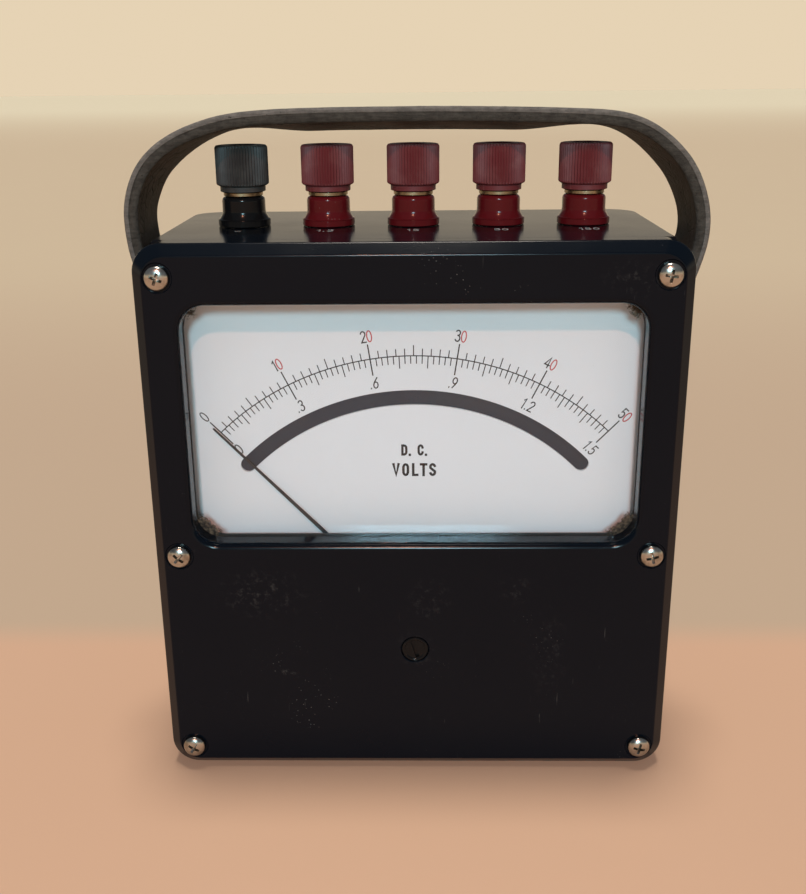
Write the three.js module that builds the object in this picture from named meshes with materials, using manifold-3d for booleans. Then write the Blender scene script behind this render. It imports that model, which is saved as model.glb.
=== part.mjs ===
// Portable direct-current voltmeter: a moulded case with a leather carrying strap, five screw-down
// terminals on its top and a moving-coil movement behind a glazed front cover.
// Millimetres. +X is to the reader's right, +Y runs from the front to the back, +Z is up.
// The origin is the middle of the flat face that the meter stands on.
import * as THREE from "three";
import { mergeVertices } from "three/addons/utils/BufferGeometryUtils.js";
import Module from "manifold-3d";

const wasm = await Module();
wasm.setup();

// ---------------------------------------------------------------- driving dimensions

const FRONT_Y = -38; // the cover's front face; depths below are measured back from it
const GAP = 0.15; // clearance between pieces that rest on each other
const ARC_STEPS = 4; // facets in a quarter circle of a moulded corner

const COVER = {
  halfWidth: 75.35,
  height: 160.5,
  depth: 9,
  cornerRadius: 8,
  plate: 3.2, // thickness of the plain lower front
  cavityHalfWidth: 61,
  cavityBottom: 5,
  cavityTop: 67,
  cavityRadius: 4,
};
// The cover's front edge: how far the outline has drawn in at each depth.
const COVER_EDGE = [
  { inset: 3.3, depth: 0 },
  { inset: 2.6, depth: 0.25 },
  { inset: 0.7, depth: 2.1 },
  { inset: 0.15, depth: 2.8 },
  { inset: 0, depth: 3.8 },
];
const CASE = {
  halfWidth: 71,
  depth: 76,
  wall: 3.5,
  backRadius: 9,
  flangeDepth: 3,
};
const WINDOW = {
  halfWidth: 63.5,
  bottom: 74.6,
  top: 144,
  cornerRadius: 7.5,
  glassDepth: 6, // from the cover's front to the glass
  glassThickness: 2,
  ledge: 2, // how far the glass pocket reaches beyond the opening
};
// The rounded lip round the window: how far the opening has spread at each depth.
const WINDOW_LIP = [
  { spread: 2, depth: 0 },
  { spread: 1.2, depth: 0.2 },
  { spread: 0.5, depth: 0.75 },
  { spread: 0, depth: 1.9 },
];
const COVER_SCREW = {
  x: 68,
  rows: { bottom: 7.5, middle: 71, top: 151.7 },
  headRadius: 3.35,
  shankRadius: 1.65,
  length: 17,
  holeRadius: 2,
  sinkRadius: 3.95, // the shallow seat that the head sits in
  sinkDepth: 0.6,
  bossLength: 19,
  bossRadius: { bottom: 4.2, middle: 3.6, top: 4.2 },
};
const ADJUSTER = {
  z: 40.7,
  radius: 3.9,
  recessDepth: 2.2, // the blind seat in the cover that the button turns in
  recessMargin: 0.2,
  bossRadius: 5.5, // thickens the plate behind the recess
  bossBack: 4.2,
  spindleRadius: 1.3,
  boreRadius: 1.5,
  crankRadius: 2.6, // the disc riveted on the spindle behind the plate
  crankThickness: 0.8,
  pinRadius: 0.6,
  pinOffset: 1.2, // eccentricity of the pin that works the zero arm
  pinLength: 1.8,
  slotWidth: 1,
  slotLength: 5.4,
  slotDepth: 1,
  slotTilt: THREE.MathUtils.degToRad(17),
};

const ZERO_ARM = {
  front: 5.9,
  back: 6.6,
  hubInner: 2.5,
  hubOuter: 4.4,
  hubOverlap: 3.6, // where the fork and the tail start, inside the hub's rim
  forkHalfWidth: 2.2,
  forkMargin: 2, // how far the fork reaches past the pin
  pinClearance: 0.25,
  lugThickness: 1.1,
  lugClearance: 0.6, // from the hairspring's outer turn to the lug
  lugBack: 10.2,
};

// The movement turns about an axis that runs front to back at x = 0, z = PIVOT_Z.
const PIVOT_Z = 45.9;
const ZERO_ANGLE = THREE.MathUtils.degToRad(-43.9); // from upright to the scale's zero
const COIL = {
  front: 14.4,
  back: 31.6,
  formerRadius: 8.35,
  formerThickness: 0.5,
  windingRadius: 9.15,
  width: 5,
};
const COIL_PIVOT = { footRadius: 2, footHeight: 0.7, shaftRadius: 0.6, shaftHeight: 3.4, tip: 4.2 };
const BALANCE = {
  bore: 0.6,
  side: { distance: 7.5, radius: 1.2, length: 2 },
  tail: { distance: 11.6, radius: 1.8, length: 4 },
};
const GAP_FIELD = { coreRadius: 7.2, boreRadius: 9.8, front: 16, back: 30 };
const POLE = { innerX: 5, halfHeight: 14 };
const CORE_STAY = {
  front: 21,
  back: 25,
  postHalfWidth: 2,
  barHalfWidth: 20,
  barBottom: 14.15, // just clear of the pole pieces' tops
  barTop: 16.5,
};
const MAGNET = { legOuter: 34, legInner: 22, legBottom: 34, archZ: 85, front: 17, back: 29 };
const BRIDGE = {
  halfHeight: 4,
  halfWidth: 21.6,
  footWidth: 4,
  boreRadius: 2.3,
  thickness: 1.2,
  front: 7.2, // depth of the front bridge's strip
  rear: 37.4, // and of the rear bridge's
};
const JEWEL_SCREW = {
  radius: 2,
  length: 3.4,
  cup: 0.5,
  slotDepth: 0.6,
  slotWidth: 0.6,
  frontTip: 9,
  rearTip: 37.1,
};
const POINTER = { depth: 11.3, thickness: 0.5, tip: 83.6, rootWidth: 1.5, tipWidth: 0.45 };
const HAIRSPRING = {
  inner: 1.5,
  outer: 6.3,
  turns: 3.25,
  thickness: 0.2,
  width: 0.6,
  frontDepth: 9.6,
  rearDepth: 34.2,
};
const DIAL = {
  depth: 13.6,
  thickness: 0.8,
  halfWidth: 66.3,
  bottom: 66,
  top: 147.2,
  cornerRadius: 3,
  screwX: 40,
  screwZ: 69,
  screwRadius: 1.2,
  screwHeadRadius: 2.2,
  screwLength: 8,
  holeRadius: 1.5,
};
const MIRROR_SLOT = {
  radius: 68.7,
  halfWidth: 2.2,
  halfAngle: THREE.MathUtils.degToRad(45.2),
};
const BASE = {
  halfWidth: 45,
  bottom: 33,
  top: 121,
  front: 42,
  thickness: 4,
  boreRadius: 7,
  // The pads behind the magnet: one under each leg and one under the crown of its arch.
  legPad: { inner: 24, bottom: 36, top: 56 },
  crownPad: { halfWidth: 8, bottom: 23, top: 32 },
  wallPillar: { radius: 4, x: 38, fromBottom: 6, fromTop: 10 },
  dialPillarRadius: 3,
};
const BOARD = { halfWidth: 50, bottom: 118, top: 144, front: 60, thickness: 1.6 };
const SPOOL = { flangeRadius: 6, flange: 1.5, coreRadius: 4.6, length: 20, inset: 5.5, rise: 2 };

const POST = {
  spacing: 25,
  y: 1.5,
  names: ["black", "red_1", "red_2", "red_3", "red_4"],
  studRadius: 3.1,
  boreRadius: 3.4,
  studTop: 22,
  studBottom: -12,
  plugRadius: 2.05, // socket for a banana plug in the stud's end
  plugDepth: 8,
  wireHoleRadius: 1,
  wireHoleZ: 10.4,
  flangeRadius: 7.65,
  bodyRadius: 6.3,
  bodyTop: 8.6,
  washerRadius: 6.5,
  washerThickness: 0.8,
  nutRadius: 5.6,
  nutThickness: 4,
  insertRadius: 5.8,
  insertTop: 10.5,
  neckRadius: 4.2,
  neckTop: 17,
  collarRadius: 6.6,
  capRadius: 7.65,
  capTop: 23.1,
};

const STRAP = {
  thickness: 4.4,
  width: 25,
  y: -3, // the middle of its width
  pivotZ: 128,
  holeRadius: 2.4,
  // The middle line of the leather, seen from the front, from the left end round to the right end.
  route: [
    [-73.9, 116], [-73.9, 125], [-73.9, 134], [-76.4, 145], [-79.3, 158], [-78.9, 170],
    [-73.2, 180.6], [-61, 187.9], [-42, 191.6], [0, 192.3], [42, 191.5], [61, 189.3],
    [73.2, 181.3], [79.7, 170.6], [81.3, 158.5], [77.8, 145], [73.9, 134], [73.9, 125],
    [73.9, 116],
  ],
  screwClearance: 0.4,
  routeSteps: 40,
};
const STRAP_SCREW = { headRadius: 5.5, headHeight: 2, shankRadius: 1.9, innerX: 63 };

// ---------------------------------------------------------------- colours and finishes

const FINISH = {
  blackMoulding: { color: 0x0b0b0c, roughness: 0.18, metalness: 0 },
  redMoulding: { color: 0x7a0c16, roughness: 0.25, metalness: 0 },
  blackCap: { color: 0x1e1d1e, roughness: 0.6, metalness: 0 },
  redCap: { color: 0x6a1c26, roughness: 0.6, metalness: 0 },
  glass: { color: 0xe8f0f2, roughness: 0.05, metalness: 0, transparent: true, opacity: 0.3 },
  gasket: { color: 0x2a2622, roughness: 0.9, metalness: 0 },
  nickel: { color: 0xb8b4ac, roughness: 0.25, metalness: 1 },
  brass: { color: 0xa8834a, roughness: 0.35, metalness: 1 },
  bronze: { color: 0x9a6a3a, roughness: 0.4, metalness: 1 },
  dialPaint: { color: 0xdcdcda, roughness: 0.7, metalness: 0 },
  mirror: { color: 0x9098a0, roughness: 0.05, metalness: 1 },
  blackPaint: { color: 0x101010, roughness: 0.6, metalness: 0 },
  aluminium: { color: 0xb9bcbe, roughness: 0.4, metalness: 1 },
  copper: { color: 0xa0522d, roughness: 0.45, metalness: 1 },
  iron: { color: 0x54504c, roughness: 0.5, metalness: 1 },
  magnet: { color: 0x3c3e42, roughness: 0.55, metalness: 0.8 },
  board: { color: 0x5a3a20, roughness: 0.7, metalness: 0 },
  leather: { color: 0x2f302e, roughness: 0.85, metalness: 0 },
};

// ---------------------------------------------------------------- general helpers

const depthY = (depth) => FRONT_Y + depth;

function toSolid(geometry) {
  const bare = geometry.clone();
  bare.deleteAttribute("normal");
  bare.deleteAttribute("uv");
  const merged = mergeVertices(bare, 1e-4);
  const made = new wasm.Manifold(
    new wasm.Mesh({
      numProp: 3,
      vertProperties: merged.attributes.position.array,
      triVerts: new Uint32Array(merged.index.array),
    }),
  );
  if (made.status && made.status() !== "NoError") throw new Error("open surface: " + made.status());
  return made;
}

function toGeometry(solid) {
  const mesh = solid.getMesh();
  return new THREE.BufferGeometry()
    .setAttribute("position", new THREE.BufferAttribute(mesh.vertProperties, 3))
    .setIndex(new THREE.BufferAttribute(mesh.triVerts, 1));
}

const join = (first, ...others) => others.reduce((sum, solid) => sum.add(solid), first);
const cut = (first, ...others) => others.reduce((rest, solid) => rest.subtract(solid), first);

function box(x0, x1, y0, y1, z0, z1) {
  const geometry = new THREE.BoxGeometry(x1 - x0, y1 - y0, z1 - z0);
  geometry.translate((x0 + x1) / 2, (y0 + y1) / 2, (z0 + z1) / 2);
  return toSolid(geometry);
}

// A solid of revolution from [radius, height] points that start and end on the axis or close on
// themselves, given anticlockwise with the radius to the right. Its axis is "x", "y" or "z".
function turned(profile, axis, place, segments) {
  const points = profile.map(([radius, height]) => new THREE.Vector2(radius, height));
  const geometry = new THREE.LatheGeometry(points, segments);
  if (axis === "z") geometry.rotateX(Math.PI / 2);
  if (axis === "x") geometry.rotateZ(-Math.PI / 2);
  geometry.translate(...place);
  return toSolid(geometry);
}

// A plain round bar between two heights on its axis.
function bar(radius, low, high, axis, place, segments) {
  return turned([[0, low], [radius, low], [radius, high], [0, high]], axis, place, segments);
}

// A tube between two heights on its axis.
function tube(inner, outer, low, high, axis, place, segments) {
  const profile = [[inner, low], [outer, low], [outer, high], [inner, high], [inner, low]];
  return turned(profile, axis, place, segments);
}

// A flat outline drawn in X and Z as seen from the front, given thickness from one depth to another.
function plateXZ(shape, frontDepth, backDepth, curveSegments = ARC_STEPS) {
  const thickness = backDepth - frontDepth;
  const settings = { depth: thickness, bevelEnabled: false, curveSegments };
  const geometry = new THREE.ExtrudeGeometry(shape, settings);
  geometry.rotateX(Math.PI / 2);
  geometry.translate(0, depthY(backDepth), 0);
  return toSolid(geometry);
}

// Points of a rounded rectangle, anticlockwise seen from the front, in X and Z.
function roundedOutline(x0, x1, z0, z1, radius) {
  const corners = [
    [x1 - radius, z1 - radius, 0],
    [x0 + radius, z1 - radius, Math.PI / 2],
    [x0 + radius, z0 + radius, Math.PI],
    [x1 - radius, z0 + radius, 1.5 * Math.PI],
  ];
  return corners.flatMap(([x, z, start]) =>
    Array.from({ length: ARC_STEPS + 1 }, (_, i) => {
      const angle = start + (i / ARC_STEPS) * (Math.PI / 2);
      return new THREE.Vector2(x + radius * Math.cos(angle), z + radius * Math.sin(angle));
    }),
  );
}

// A solid through outlines of equal length, each at its own depth, from the front to the back.
function loft(sections) {
  const count = sections[0].outline.length;
  const positions = sections.flatMap(({ outline, depth }) =>
    outline.flatMap((point) => [point.x, depthY(depth), point.y]),
  );
  const faces = [];
  for (let s = 0; s + 1 < sections.length; s++) {
    for (let i = 0; i < count; i++) {
      const a = s * count + i;
      const b = s * count + ((i + 1) % count);
      faces.push(a, a + count, b, b, a + count, b + count);
    }
  }
  const cap = THREE.ShapeUtils.triangulateShape(sections[0].outline, []);
  const last = (sections.length - 1) * count;
  for (const [a, b, c] of cap) {
    faces.push(a, b, c);
    faces.push(last + a, last + c, last + b);
  }
  const geometry = new THREE.BufferGeometry();
  geometry.setAttribute("position", new THREE.Float32BufferAttribute(positions, 3));
  geometry.setIndex(faces);
  return toSolid(geometry);
}

// A plate of rounded outline between two depths.
function roundedBlock(x0, x1, z0, z1, radius, frontDepth, backDepth) {
  const outline = roundedOutline(x0, x1, z0, z1, radius);
  return loft([{ outline, depth: frontDepth }, { outline, depth: backDepth }]);
}

// Turns a solid about the movement's axis. Positive is clockwise seen from the front.
function turnedAboutPivot(solid, angle) {
  const turn = new THREE.Matrix4()
    .makeTranslation(0, 0, PIVOT_Z)
    .multiply(new THREE.Matrix4().makeRotationY(angle))
    .multiply(new THREE.Matrix4().makeTranslation(0, 0, -PIVOT_Z));
  return solid.transform(turn.elements);
}

const meter = new THREE.Group();

function addPiece(name, solid, finish) {
  const mesh = new THREE.Mesh(toGeometry(solid), new THREE.MeshStandardMaterial(finish));
  mesh.name = name;
  meter.add(mesh);
}

// ---------------------------------------------------------------- cover, case and their screws

const SIDES = { left: -1, right: 1 };
const ROW_NAMES = ["top", "middle", "bottom"];

function forEachCoverScrew(visit) {
  for (const row of ROW_NAMES) {
    for (const [side, sign] of Object.entries(SIDES)) {
      visit(row + "_" + side, sign * COVER_SCREW.x, COVER_SCREW.rows[row], row);
    }
  }
}

function coverSection({ inset, depth }) {
  const side = COVER.halfWidth - inset;
  const radius = COVER.cornerRadius - inset * 0.6;
  return { outline: roundedOutline(-side, side, inset, COVER.height - inset, radius), depth };
}

function windowSection({ spread, depth }) {
  const side = WINDOW.halfWidth + spread;
  const outline = roundedOutline(
    -side,
    side,
    WINDOW.bottom - spread,
    WINDOW.top + spread,
    WINDOW.cornerRadius + spread,
  );
  return { outline, depth };
}

function windowBlock(spread, frontDepth, backDepth) {
  return loft([
    windowSection({ spread, depth: frontDepth }),
    windowSection({ spread, depth: backDepth }),
  ]);
}

function frontCover() {
  const body = loft([...COVER_EDGE, { inset: 0, depth: COVER.depth }].map(coverSection));
  const opening = loft([
    ...WINDOW_LIP.map(windowSection),
    windowSection({ spread: 0, depth: COVER.depth + 1 }),
  ]);
  const pocket = windowBlock(WINDOW.ledge, WINDOW.glassDepth, COVER.depth + 1);
  const cavity = roundedBlock(
    -COVER.cavityHalfWidth,
    COVER.cavityHalfWidth,
    COVER.cavityBottom,
    COVER.cavityTop,
    COVER.cavityRadius,
    COVER.plate,
    COVER.depth + 1,
  );
  let solid = adjusterSeat(cut(body, opening, pocket, cavity));
  forEachCoverScrew((_, x, z) => {
    const place = [x, FRONT_Y, z];
    solid = cut(
      solid,
      bar(COVER_SCREW.holeRadius, -1, COVER.depth + 1, "y", place, 12),
      bar(COVER_SCREW.sinkRadius, -1, COVER_SCREW.sinkDepth, "y", place, 24),
    );
  });
  return solid;
}

// Adds the boss behind the plate and cuts the recess and the bore that the zero adjuster turns in.
function adjusterSeat(cover) {
  const { radius, recessMargin, recessDepth, bossRadius, bossBack, boreRadius } = ADJUSTER;
  const place = [0, FRONT_Y, ADJUSTER.z];
  const boss = bar(bossRadius, COVER.plate - 1, bossBack, "y", place, 24);
  const recess = bar(radius + recessMargin, -1, recessDepth, "y", place, 24);
  const bore = bar(boreRadius, -1, bossBack + 1, "y", place, 12);
  return cut(join(cover, boss), recess, bore);
}

function windowGlass() {
  const front = WINDOW.glassDepth + GAP;
  return windowBlock(WINDOW.ledge - 0.3, front, front + WINDOW.glassThickness);
}

function windowGasket() {
  const front = WINDOW.glassDepth + WINDOW.glassThickness + 2 * GAP;
  const outer = windowBlock(WINDOW.ledge - 0.3, front, COVER.depth);
  return cut(outer, windowBlock(0.2, front - 1, COVER.depth + 1));
}

// The case's outline seen from above, square at the front and rounded at the back.
function casePlan(halfWidth, front, back, radius) {
  const plan = new THREE.Shape();
  plan.moveTo(-halfWidth, front);
  plan.lineTo(halfWidth, front);
  plan.lineTo(halfWidth, back - radius);
  plan.absarc(halfWidth - radius, back - radius, radius, 0, Math.PI / 2, false);
  plan.lineTo(-halfWidth + radius, back);
  plan.absarc(-halfWidth + radius, back - radius, radius, Math.PI / 2, Math.PI, false);
  return plan;
}

function caseBlock(halfWidth, frontDepth, backDepth, radius, z0, z1) {
  const plan = casePlan(halfWidth, depthY(frontDepth), depthY(backDepth), radius);
  const geometry = new THREE.ExtrudeGeometry(plan, {
    depth: z1 - z0,
    bevelEnabled: false,
    curveSegments: ARC_STEPS,
  });
  geometry.translate(0, 0, z0);
  return toSolid(geometry);
}

function rearCase() {
  const front = COVER.depth + GAP;
  const flange = loft([
    coverSection({ inset: 0, depth: front }),
    coverSection({ inset: 0, depth: front + CASE.flangeDepth }),
  ]);
  const body = caseBlock(CASE.halfWidth, front, CASE.depth, CASE.backRadius, 0, COVER.height);
  let hollow = caseBlock(
    CASE.halfWidth - CASE.wall,
    front - 1,
    CASE.depth - CASE.wall,
    CASE.backRadius - CASE.wall,
    CASE.wall,
    COVER.height - CASE.wall,
  );
  forEachCoverScrew((_, x, z, row) => {
    const radius = COVER_SCREW.bossRadius[row];
    const back = front + COVER_SCREW.bossLength;
    hollow = cut(hollow, bar(radius, front - 2, back, "y", [x, FRONT_Y, z], 12));
  });
  let solid = cut(join(flange, body), hollow);
  forEachCoverScrew((_, x, z) => {
    const end = COVER_SCREW.length + 2;
    solid = cut(solid, bar(COVER_SCREW.holeRadius, front - 1, end, "y", [x, FRONT_Y, z], 12));
  });
  for (const x of postPositions()) {
    const place = [x, POST.y, COVER.height];
    solid = cut(solid, bar(POST.boreRadius, -CASE.wall - 1, 1, "z", place, 16));
  }
  for (const sign of Object.values(SIDES)) {
    const place = [sign * CASE.halfWidth, STRAP.y, STRAP.pivotZ];
    solid = cut(solid, bar(STRAP.holeRadius, -CASE.wall - 1, CASE.wall + 1, "x", place, 12));
  }
  return solid;
}

// A pan-head screw with a cross recess, its head's seat at the depth of the cover's sinks.
function coverScrew(x, z) {
  const seat = COVER_SCREW.sinkDepth - GAP;
  const { headRadius, shankRadius, length } = COVER_SCREW;
  const screw = turned(
    [
      [0, seat - 2.4],
      [1.7, seat - 2.25],
      [2.7, seat - 1.75],
      [3.2, seat - 1],
      [headRadius, seat - 0.4],
      [headRadius, seat],
      [shankRadius, seat],
      [shankRadius, length - 1],
      [0, length],
    ],
    "y",
    [x, FRONT_Y, z],
    12,
  );
  const arm = 1.9;
  const halfWidth = 0.4;
  const floor = depthY(seat - 0.9);
  const outside = depthY(seat - 4);
  return cut(
    screw,
    box(x - arm, x + arm, outside, floor, z - halfWidth, z + halfWidth),
    box(x - halfWidth, x + halfWidth, outside, floor, z - arm, z + arm),
  );
}

function addHousing() {
  addPiece("rear_case", rearCase(), FINISH.blackMoulding);
  addPiece("front_cover", frontCover(), FINISH.blackMoulding);
  addPiece("window_glass", windowGlass(), FINISH.glass);
  addPiece("window_gasket", windowGasket(), FINISH.gasket);
  forEachCoverScrew((label, x, z) => addPiece("cover_screw_" + label, coverScrew(x, z), FINISH.nickel));
}

// ---------------------------------------------------------------- zero adjustment

// A slotted button that turns in the cover; the off-centre pin on its crank moves the zero arm.
function zeroAdjuster() {
  const { radius, recessDepth, spindleRadius, crankRadius, crankThickness } = ADJUSTER;
  const { pinRadius, pinOffset, pinLength, slotWidth, slotLength, slotDepth } = ADJUSTER;
  const place = [0, FRONT_Y, ADJUSTER.z];
  const crankFront = ADJUSTER.bossBack + GAP;
  const crankBack = crankFront + crankThickness;
  const button = turned(
    [
      [0, -0.1],
      [radius - 0.4, -0.1],
      [radius, 0.3],
      [radius, recessDepth - GAP],
      [spindleRadius, recessDepth - GAP],
      [spindleRadius, crankFront],
      [crankRadius, crankFront],
      [crankRadius, crankBack],
      [0, crankBack],
    ],
    "y",
    place,
    24,
  );
  const pinPlace = [0, FRONT_Y, ADJUSTER.z - pinOffset];
  const pin = bar(pinRadius, crankFront, crankBack + pinLength, "y", pinPlace, 12);
  const slot = new THREE.BoxGeometry(slotWidth, 2 * slotDepth, slotLength);
  slot.rotateY(-ADJUSTER.slotTilt);
  slot.translate(...place);
  return cut(join(button, pin), toSolid(slot));
}

// The arm that carries the front hairspring's outer end; its fork straddles the adjuster's pin.
function zeroArm() {
  const { front, back, hubInner, hubOuter, hubOverlap, forkHalfWidth, lugThickness } = ZERO_ARM;
  const frontY = depthY(front);
  const backY = depthY(back);
  const forkSlot = ADJUSTER.pinRadius + ZERO_ARM.pinClearance;
  const forkTop = PIVOT_Z - hubOverlap;
  const forkEnd = ADJUSTER.z - ADJUSTER.pinOffset - ZERO_ARM.forkMargin;
  const tailTop = PIVOT_Z + HAIRSPRING.outer + ZERO_ARM.lugClearance + lugThickness;
  const hub = tube(hubInner, hubOuter, front, back, "y", [0, FRONT_Y, PIVOT_Z], 24);
  const fork = box(-forkHalfWidth, forkHalfWidth, frontY, backY, forkEnd, forkTop);
  const slot = box(-forkSlot, forkSlot, frontY - 1, backY + 1, forkEnd - 1, forkTop - 1);
  const tail = box(-1, 1, frontY, backY, PIVOT_Z + hubOverlap, tailTop);
  const lug = box(-1, 1, frontY, depthY(ZERO_ARM.lugBack), tailTop - lugThickness, tailTop);
  return join(hub, cut(fork, slot), tail, lug);
}

// ---------------------------------------------------------------- moving element

function hairspring(frontDepth, hand) {
  const { inner, outer, turns, thickness, width } = HAIRSPRING;
  const steps = Math.round(turns * 12);
  const edge = (offset) =>
    Array.from({ length: steps + 1 }, (_, i) => {
      const part = i / steps;
      const radius = inner + part * (outer - inner) + offset;
      const angle = hand * (part - 1) * turns * 2 * Math.PI + Math.PI / 2;
      return new THREE.Vector2(radius * Math.cos(angle), PIVOT_Z + radius * Math.sin(angle));
    });
  const outline = [...edge(thickness / 2), ...edge(-thickness / 2).reverse()];
  return plateXZ(new THREE.Shape(outline), frontDepth, frontDepth + width);
}

// A flat loop round the core: two long sides along the axis, joined at the front and the back.
function coilLoop(radius, thickness, front, back, width) {
  const half = width / 2;
  const outer = box(-radius, radius, depthY(front), depthY(back), PIVOT_Z - half, PIVOT_Z + half);
  const side = radius - thickness;
  const inner = box(
    -side,
    side,
    depthY(front + thickness),
    depthY(back - thickness),
    PIVOT_Z - width,
    PIVOT_Z + width,
  );
  return turnedAboutPivot(cut(outer, inner), ZERO_ANGLE);
}

function coilFormer() {
  return coilLoop(COIL.formerRadius, COIL.formerThickness, COIL.front, COIL.back, COIL.width);
}

function coilWinding() {
  const thickness = COIL.windingRadius - COIL.formerRadius - GAP;
  const margin = COIL.windingRadius - COIL.formerRadius;
  return coilLoop(COIL.windingRadius, thickness, COIL.front - margin, COIL.back + margin, COIL.width - 0.6);
}

const PIVOT_FOOT = COIL.windingRadius - COIL.formerRadius + GAP; // from the coil's end to the pivot's foot

function pivotShaft(footDepth, direction) {
  const { footRadius, footHeight, shaftRadius, shaftHeight, tip } = COIL_PIVOT;
  const profile = [
    [0, 0],
    [footRadius, 0],
    [footRadius, footHeight],
    [shaftRadius, footHeight],
    [shaftRadius, shaftHeight],
    [0.15, tip],
    [0, tip],
  ];
  const placed = profile.map(([radius, height]) => [radius, direction * height]);
  if (direction < 0) placed.reverse();
  return turned(placed, "y", [0, depthY(footDepth), PIVOT_Z], 12);
}

// The pointer with its hub, two short side arms and a tail, all flat.
function pointer() {
  const { depth, thickness, tip, rootWidth, tipWidth } = POINTER;
  const back = depth + thickness;
  const armEnd = 9.4;
  const tailEnd = 14;
  const halfArm = 0.35;
  const needle = new THREE.Shape([
    new THREE.Vector2(-rootWidth / 2, PIVOT_Z + 1.6),
    new THREE.Vector2(rootWidth / 2, PIVOT_Z + 1.6),
    new THREE.Vector2(tipWidth / 2, PIVOT_Z + tip),
    new THREE.Vector2(-tipWidth / 2, PIVOT_Z + tip),
  ]);
  const hub = bar(2.4, depth, back, "y", [0, FRONT_Y, PIVOT_Z], 18);
  const bore = bar(0.8, depth - 1, back + 1, "y", [0, FRONT_Y, PIVOT_Z], 12);
  const front = depthY(depth);
  const rear = depthY(back);
  const arms = box(-armEnd, armEnd, front, rear, PIVOT_Z - halfArm, PIVOT_Z + halfArm);
  const tail = box(-halfArm, halfArm, front, rear, PIVOT_Z - tailEnd, PIVOT_Z);
  const solid = cut(join(hub, plateXZ(needle, depth, back), arms, tail), bore);
  return turnedAboutPivot(solid, ZERO_ANGLE);
}

// A small ring nut on one of the pointer's arms, at an angle from the needle.
function balanceWeight(angle, { distance, radius, length }) {
  const middle = POINTER.depth + POINTER.thickness / 2;
  const place = [0, depthY(middle), PIVOT_Z + distance];
  const ring = tube(BALANCE.bore, radius, -length / 2, length / 2, "z", place, 16);
  return turnedAboutPivot(ring, ZERO_ANGLE + angle);
}

function addMovingElement() {
  addPiece("coil_former", coilFormer(), FINISH.aluminium);
  addPiece("coil_winding", coilWinding(), FINISH.copper);
  addPiece("front_pivot", pivotShaft(COIL.front - PIVOT_FOOT, -1), FINISH.nickel);
  addPiece("rear_pivot", pivotShaft(COIL.back + PIVOT_FOOT, 1), FINISH.nickel);
  addPiece("pointer", pointer(), FINISH.blackPaint);
  addPiece("balance_weight_left", balanceWeight(-Math.PI / 2, BALANCE.side), FINISH.brass);
  addPiece("balance_weight_right", balanceWeight(Math.PI / 2, BALANCE.side), FINISH.brass);
  addPiece("balance_weight_tail", balanceWeight(Math.PI, BALANCE.tail), FINISH.brass);
}

// ---------------------------------------------------------------- fixed movement

function magnet() {
  const { legOuter, legInner, legBottom, archZ, front, back } = MAGNET;
  const shape = new THREE.Shape();
  shape.moveTo(legOuter, legBottom);
  shape.lineTo(legOuter, archZ);
  shape.absarc(0, archZ, legOuter, 0, Math.PI, false);
  shape.lineTo(-legOuter, legBottom);
  shape.lineTo(-legInner, legBottom);
  shape.lineTo(-legInner, archZ);
  shape.absarc(0, archZ, legInner, Math.PI, 0, true);
  shape.lineTo(legInner, legBottom);
  return plateXZ(shape, front, back, 16);
}

function polePiece(sign) {
  const { innerX, halfHeight } = POLE;
  const outerX = MAGNET.legInner - GAP;
  const low = Math.min(sign * innerX, sign * outerX);
  const high = Math.max(sign * innerX, sign * outerX);
  const { front, back, boreRadius } = GAP_FIELD;
  const y0 = depthY(front);
  const y1 = depthY(back);
  const block = box(low, high, y0, y1, PIVOT_Z - halfHeight, PIVOT_Z + halfHeight);
  return cut(block, bar(boreRadius, front - 1, back + 1, "y", [0, FRONT_Y, PIVOT_Z], 32));
}

function ironCore() {
  return bar(GAP_FIELD.coreRadius, GAP_FIELD.front, GAP_FIELD.back, "y", [0, FRONT_Y, PIVOT_Z], 32);
}

// A brass stay that stands on the core between the pole tips and crosses over both poles.
function coreSupport() {
  const { postHalfWidth, barHalfWidth, barBottom, barTop } = CORE_STAY;
  const front = depthY(CORE_STAY.front);
  const back = depthY(CORE_STAY.back);
  const foot = PIVOT_Z + GAP_FIELD.coreRadius + GAP;
  const post = box(-postHalfWidth, postHalfWidth, front, back, foot, PIVOT_Z + barTop);
  const crossbar = box(-barHalfWidth, barHalfWidth, front, back, PIVOT_Z + barBottom, PIVOT_Z + barTop);
  return join(post, crossbar);
}

// A strip across the movement with a foot at each end.
function bridgeStrip(frontDepth, footFront, footBack) {
  const { halfWidth, halfHeight, footWidth, boreRadius } = BRIDGE;
  const backDepth = frontDepth + BRIDGE.thickness;
  const z0 = PIVOT_Z - halfHeight;
  const z1 = PIVOT_Z + halfHeight;
  const strip = box(-halfWidth, halfWidth, depthY(frontDepth), depthY(backDepth), z0, z1);
  const foot = (sign) => {
    const ends = [sign * halfWidth, sign * (halfWidth - footWidth)].sort((a, b) => a - b);
    return box(ends[0], ends[1], depthY(footFront), depthY(footBack), z0, z1);
  };
  const hole = bar(boreRadius, frontDepth - 1, backDepth + 1, "y", [0, FRONT_Y, PIVOT_Z], 16);
  return cut(join(strip, foot(-1), foot(1)), hole);
}

function frontBridge() {
  return bridgeStrip(BRIDGE.front, BRIDGE.front, GAP_FIELD.front - GAP);
}

function rearBridge() {
  return bridgeStrip(BRIDGE.rear, GAP_FIELD.back + GAP, BRIDGE.rear + BRIDGE.thickness);
}

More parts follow.
